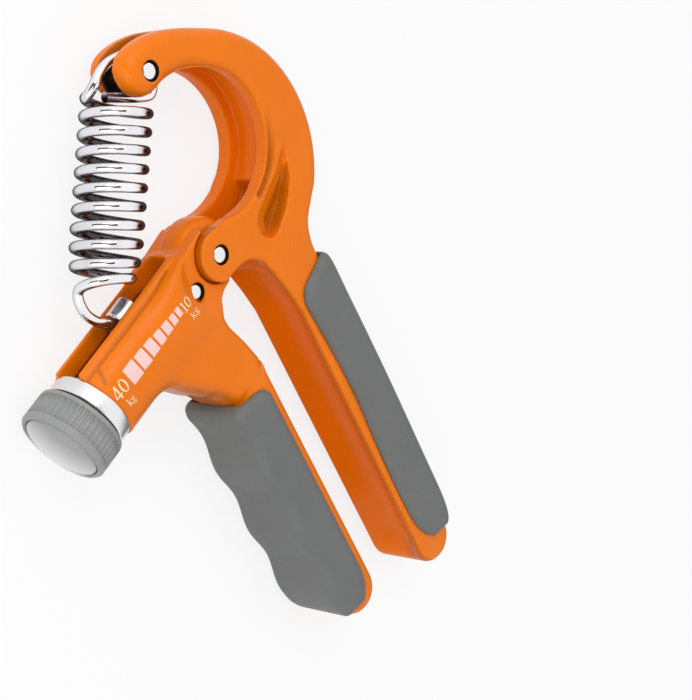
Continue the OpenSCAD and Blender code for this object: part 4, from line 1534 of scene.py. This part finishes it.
# ---- screw drive
@dataclass
class ScrewDrive:
    """The knob, its cap, the lead screw, the carrier nut, the steel collar and the pins' heads."""

    lever: Lever
    screw_r: float = 2.5
    slip: float = 0.06
    bore: float = 2.6
    thread: float = 0.45
    thread_from: float = 5.9
    thread_to: float = 31.8
    helix_steps: int = 28
    pitch: float = 2.0
    nut_at: float = 9.5
    nut_length: float = 8.5
    boss_r: float = 2.85
    boss_rise: float = 0.8
    boss_step: float = 2.9
    collar_r: float = 9.9
    collar_length: float = 3.9
    knob_r: float = 10.8
    knob_length: float = 8.2
    crown: float = 1.1
    cap_rim: float = 1.4
    pin_face: float = 0.94
    pin_dome: tuple[Point, ...] = ((0.7, 0.03), (0.9, 0.1), (0.98, 0.2), (1.0, 0.3), (1.0, 0.34))
    pin_seat: tuple[Point, ...] = ((0.2, -0.36), (0.22, 0.3), (0.28, 0.3), (0.28, -0.84), (0.0, -0.86))
    ribs: int = 44
    rib_r: float = 0.6
    groove: float = 0.34

    @property
    def knob_from(self) -> float:
        """Where the knob starts, along the barrel."""
        return self.lever.barrel_length + self.collar_length + 0.7

    def knob(self) -> bpy.types.Object:
        """Makes the knob's body, with soft ribs round it.

        Returns:
            The knob.
        """
        s0, s1, r = self.knob_from, self.knob_from + self.knob_length, self.knob_r
        seat, low = r - self.cap_rim, r - self.groove
        profile = bevelled(
            [(s0, self.bore), (s0, r - 0.1), (s0 + 1.0, r), (s0 + 1.2, low), (s1 - 1.95, low), (s1 - 1.75, r),
             (s1 - 0.75, r), (s1 - 0.02, r - 0.72), (s1 - 0.1, seat + 0.15), (s1 - 0.6, seat), (s1 - 1.2, seat),
             (s1 - 1.2, self.bore), (s0, self.bore)],
            0.26,
        )
        body = piece("knob_body", *turned(profile, 132))
        rib = self.rib_r * MM
        tree = Pattern("knob_ribs", **{"Ribs": self.ribs, "Rib Radius": rib, "Ring Radius": r * MM - rib})
        circle = tree.add(
            "GeometryNodeMeshCircle", {"Vertices": tree.size("Ribs"), "Radius": tree.size("Ring Radius")}
        )
        sizes = {"Vertices": 16, "Radius": tree.size("Rib Radius"), "Depth": (self.knob_length - 2.9) * MM}
        bar = tree.add("GeometryNodeMeshCylinder", sizes, fill_type="TRIANGLE_FAN")
        copies = tree.add("GeometryNodeInstanceOnPoints", {"Points": circle, "Instance": bar})
        middle = (DATUM.on_barrel((s0 + s1) / 2 - 0.37, 0) + DATUM.pivot) * MM
        turn = Vector(DATUM.barrel).to_track_quat("Z", "Y").to_euler()
        ring = tree.add(
            "GeometryNodeTransform", {0: copies, "Translation": tuple(middle), "Rotation": tuple(turn)}
        )
        smooth = tree.add("GeometryNodeSetShadeSmooth", {0: ring})
        both = tree.add("GeometryNodeJoinGeometry", {0: [smooth, tree.size("Geometry")]})
        tree.finish(both, KNOB_GREY)
        return tree.grow("ribbed_knob", body)

    def cap(self) -> bpy.types.Object:
        """Makes the knob's domed cap, with a fine ring round its face.

        Returns:
            The cap.
        """
        s1, r = self.knob_from + self.knob_length, self.knob_r - self.cap_rim - 0.16
        dome = lambda q: s1 + self.crown * (1 - (q / r) ** 2) - 0.06
        profile = [(s1 - 1.2, 0.0), (s1 - 1.2, r), (s1 - 0.55, r), (s1 - 0.28, r - 0.06), (s1 - 0.1, r - 0.22)]
        profile += [(dome(r * (1 - k / 18)), r * (1 - k / 18)) for k in range(1, 18)]
        return dress(piece("knob_face", *turned(profile + [(dome(0.1), 0.02)])), CAP_GREY)

    def screw(self) -> bpy.types.Object:
        """Makes the lead screw, with a true helix for its thread.

        Returns:
            The screw.
        """
        start, end = self.bore, self.knob_from + self.knob_length - 1.4
        root, neck, full = self.screw_r - self.thread, self.thread_from - 0.3, self.thread_to + 0.9
        core = bevelled(
            [(start, 0.0), (start, root - 0.05), (neck, root - 0.05), (neck + 0.1, root), (full, root),
             (full + 0.05, self.screw_r), (end, self.screw_r), (end, 0.0)],
            0.2,
        )
        body = dress(piece("screw_core", *turned(core, 40)), TURNED)
        helix = []
        for k in range(round((self.thread_to - self.thread_from) / self.pitch * self.helix_steps) + 1):
            turn = k / self.helix_steps
            a = 2 * math.pi * turn
            along = self.thread_from + self.pitch * turn
            helix.append(DATUM.on_barrel(along, root * math.cos(a), root * math.sin(a)))
        tree = Pattern("screw_thread", **{"Thread Depth": self.thread * MM})
        tree.finish(tree.wire("Thread Depth", 6), TURNED)
        thread = tree.grow("screw_ridge", path_object("thread_line", helix))
        return join("threaded_screw", [body, thread])

    def nut(self) -> bpy.types.Object:
        """Makes the round carrier nut, with turned grooves.

        Returns:
            The nut.
        """
        r, s0, s1 = self.lever.cavity_r - 0.35, self.nut_at, self.nut_at + self.nut_length
        bore = self.screw_r + self.slip
        profile = bevelled([(s0, bore), (s0, r), (s1, r), (s1, bore), (s0, bore)], 0.35)
        body = piece("nut_barrel", *turned(profile, 72))
        boss_r, start = self.boss_r, s0 + self.boss_step
        middle = self.lever.barrel_r + self.boss_rise - boss_r
        outline = bevelled([(start, 0.0), (start, boss_r), (s1, boss_r), (s1, 0.0)], 0.35)
        boss = piece("nut_boss", *turned([(s, max(q, 0.02)) for s, q in outline], 48, middle))
        return join("round_nut", [dress(body, NUT_STEEL), dress(boss, NUT_STEEL)])

    def collar(self) -> bpy.types.Object:
        """Makes the steel collar.

        Returns:
            The collar.
        """
        s0, s1 = self.lever.barrel_length, self.lever.barrel_length + self.collar_length
        bore, spigot, inner = self.screw_r + self.slip, self.lever.cavity_r - 0.02, s0 - 2.6
        steps = [(inner, bore), (inner, spigot), (s0, spigot), (s0, self.collar_r), (s1, self.collar_r), (s1, bore)]
        return dress(piece("steel_collar", *turned(bevelled(steps, 0.3) + [(inner, bore)], 128)), TURNED)

    def pin(self, name: str, node: str) -> bpy.types.Object:
        """Makes a pin with softly domed ends, in place of a plain one.

        Args:
            name: Name of the piece.
            node: The node that it stands for.

        Returns:
            The pin.
        """
        low, high = (np.array(corner, float) / MM - DATUM.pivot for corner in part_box(node))
        r, middle, top = (high[0] - low[0]) / 2, (low + high) / 2, high[2]
        face = self.pin_face * r
        half = [(0.02, top)] + [(share * face, top - drop) for share, drop in self.pin_dome]
        half += [(r + out, top + up) for out, up in self.pin_seat]
        rings = half + [(q, -z) for q, z in half[::-1]]
        steps = 40
        turns = [2 * math.pi * k / steps for k in range(steps)]
        points = [(middle[0] + q * math.cos(a), middle[1] + q * math.sin(a), z) for q, z in rings for a in turns]
        faces = tube(len(rings), steps, flip=True)
        made = dress(piece(name, np.array(points), faces), PIN_STEEL)
        made.data.materials.append(PIN_SHADOW.material())
        # painted shadow: a black ring round each end fills the hole's mouth, where the gap is in shade
        for i, (here, there) in enumerate(zip(rings, rings[1:])):
            if max(here[0], there[0]) > r + 0.1:
                for k in range(steps):
                    made.data.polygons[i * steps + k].material_index = 1
        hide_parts(node)
        return made

    def build(self) -> None:
        """Makes the drive's pieces and puts each on its body."""
        parts = [
            (self.knob(), "knob", "knob", "grey_plastic"),
            (self.cap(), "knob_cap", "knob", "grey_plastic"),
            (self.screw(), "lead_screw", "knob", "turned_steel"),
            (self.nut(), "carrier_nut", "carrier", "nut_steel"),
            (self.collar(), "end_collar", "lever", "turned_steel"),
        ]
        for made, node, body, slot in parts:
            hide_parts(node)
            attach(made, body)
            LOG.info("%s: %d points", made.name, len(made.data.vertices))
        for name, node, body in (
            ("pivot_head", "pivot_pin", "frame"),
            ("top_head", "top_pin", "frame"),
            ("cross_head", "cross_pin", "lever"),
        ):
            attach(self.pin(name, node), body)


def join(name: str, parts: Sequence[bpy.types.Object]) -> bpy.types.Object:
    """Joins pieces into one object.

    Args:
        name: Name of the piece made.
        parts: The pieces, which are used up.

    Returns:
        The one piece.
    """
    with bpy.context.temp_override(active_object=parts[0], selected_editable_objects=list(parts)):
        bpy.ops.object.join()
    parts[0].name = name
    parts[0].data.name = name
    return parts[0]


# ---- studio
@dataclass(frozen=True)
class Studio:
    """The pale floor, the soft light and the camera."""

    aim: tuple[float, float] = (51.37, -25.21)
    towards_camera: tuple[float, float] = (-0.725, 0.07)
    distance: float = 428.6
    focal_pixels: float = 1650.0
    picture_height: float = 700.0
    floor_size: float = 3.0
    floor_glow: float = 0.42
    seen_glow: float = 0.38
    lamps: tuple[tuple[str, tuple[float, float, float], float, float], ...] = (
        ("key", (-0.35, 0.55, 0.65), 0.6, 0.23), ("fill", (-0.65, -0.25, 0.42), 0.7, 0.28),
    )

    def axes(self) -> tuple[Vector, Vector, Vector]:
        """Works out how the camera stands.

        Returns:
            Directions to its right, upwards and back from the grip.
        """
        x, y = self.towards_camera
        back = Vector((x, y, math.sqrt(1 - x * x - y * y)))
        up = (Vector((0, 1, 0)) - back * back.y).normalized()
        return up.cross(back), up, back

    def camera(self) -> None:
        """Makes the camera."""
        right, up, back = self.axes()
        target = Vector(DATUM.pivot) + Vector((*self.aim, 0.0))
        place = (target + back * self.distance) * MM
        data = bpy.data.cameras.new("camera")
        data.sensor_fit = "AUTO"
        data.sensor_width = 36.0
        data.lens = 36.0 * self.focal_pixels / self.picture_height
        data.clip_start = 0.01
        made = add_object("camera", data)
        made.matrix_world = Matrix.Translation(place) @ Matrix((right, up, back)).transposed().to_4x4()
        bpy.context.scene.camera = made

    def floor(self) -> None:
        """Makes the floor, which keeps the grip's shadow and is white to the camera."""
        s = self.floor_size
        mesh = bpy.data.meshes.new("floor")
        mesh.from_pydata([(-s, -s, 0), (s, -s, 0), (s, s, 0), (-s, s, 0)], [], [(0, 1, 2, 3)])
        made = add_object("floor", mesh)
        paint = bpy.data.materials.new("studio_floor")
        paint.use_nodes = True
        sheet = NodeSheet(paint.node_tree)
        rays = sheet.add("ShaderNodeLightPath", output="Is Camera Ray")
        pale = sheet.add("ShaderNodeBsdfDiffuse", {"Color": (0.86, 0.86, 0.87)})
        glow = sheet.add("ShaderNodeEmission", {"Color": (1.0, 1.0, 1.0), "Strength": 1.0})
        mixed = sheet.add("ShaderNodeMixShader", {0: rays * self.seen_glow + self.floor_glow, 1: pale, 2: glow})
        sheet.add("ShaderNodeOutputMaterial", {"Surface": mixed})
        mesh.materials.append(paint)

    def world(self) -> None:
        """Makes the light tent: white to the camera, brighter from the top left, with darker bands for gloss."""
        world = bpy.data.worlds.new("light_tent")
        bpy.context.scene.world = world
        world.use_nodes = True
        sheet = NodeSheet(world.node_tree)
        way = sheet.add("ShaderNodeTexCoord", output="Generated")

        def facing(x: float, y: float, z: float) -> Socket:
            """How far a ray points in a direction."""
            d = Vector((x, y, z)).normalized()
            return sheet.towards(way, d)

        camera_ray = sheet.add("ShaderNodeLightPath", output="Is Camera Ray")
        glossy_ray = sheet.add("ShaderNodeLightPath", output="Is Glossy Ray")
        soft = sheet.spread(facing(-0.55, 0.65, 0.5), -0.9, 0.9, 0.46, 0.95)
        beside, over, ahead = (facing(*way_to) for way_to in self.axes())
        # the dark doorway behind the camera, and a dark wall at the right
        door = (0.7 * ahead * ahead > beside * beside) * (0.22 * ahead * ahead > over * over) * (ahead > 0.0)
        wall = sheet.spread(facing(1.0, -0.07, 0.02), 0.88, 0.95, 0.0, 1.0)
        gloss = 1.1 - 1.05 * door - 1.0 * (1 - door) * wall
        tent = glossy_ray * gloss + (1 - glossy_ray) * soft
        strength = camera_ray + (1 - camera_ray) * tent
        light = sheet.add("ShaderNodeBackground", {"Color": (1.0, 1.0, 1.0), "Strength": strength})
        sheet.add("ShaderNodeOutputWorld", {"Surface": light})

    def lamp(self, name: str, place: tuple[float, float, float], size: float, level: float) -> None:
        """Adds a soft lamp.

        Args:
            name: Name of the lamp.
            place: Direction and distance from the grip, in metres.
            size: Side of the lamp.
            level: Share of a full white that it lights a facing surface to.
        """
        data = bpy.data.lights.new(name, "AREA")
        data.shape = "SQUARE"
        data.size = size
        away = Vector(place)
        data.energy = level * math.pi**2 * away.length_squared
        made = add_object(name, data)
        made.location = away
        made.rotation_euler = away.to_track_quat("Z", "Y").to_euler()

    def build(self) -> None:
        """Sets the studio up."""
        self.floor()
        self.world()
        for lamp in self.lamps:
            self.lamp(*lamp)
        self.camera()
        bpy.context.scene.view_settings.view_transform = "Standard"


def dress_cad() -> None:
    """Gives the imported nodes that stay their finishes."""
    finishes = {
        "pivot_washers": NYLON,
        "thrust_washer": NYLON,
        "pivot_sleeve": BRASS,
        "hook_sleeve": TURNED,
        "end_block": TURNED,
        "screw_clip": CLIP_STEEL,
        "knob_nut": TURNED,
    }
    for node, finish in finishes.items():
        target = frame["nodes"][node]
        for i in range(max(1, len(target.material_slots))):
            if target.material_slots:
                target.material_slots[i].material = finish.material()


def main() -> None:
    """Builds the grip and its studio."""
    logging.basicConfig(level=logging.INFO, format="%(name)s: %(message)s")
    dress_cad()
    hook = HookFrame()
    hook.build()
    lever = Lever(hook)
    lever.build()
    Scale(lever).build()
    Spring().build()
    ScrewDrive(lever).build()
    Studio().build()


if __name__ == "__main__":
    main()
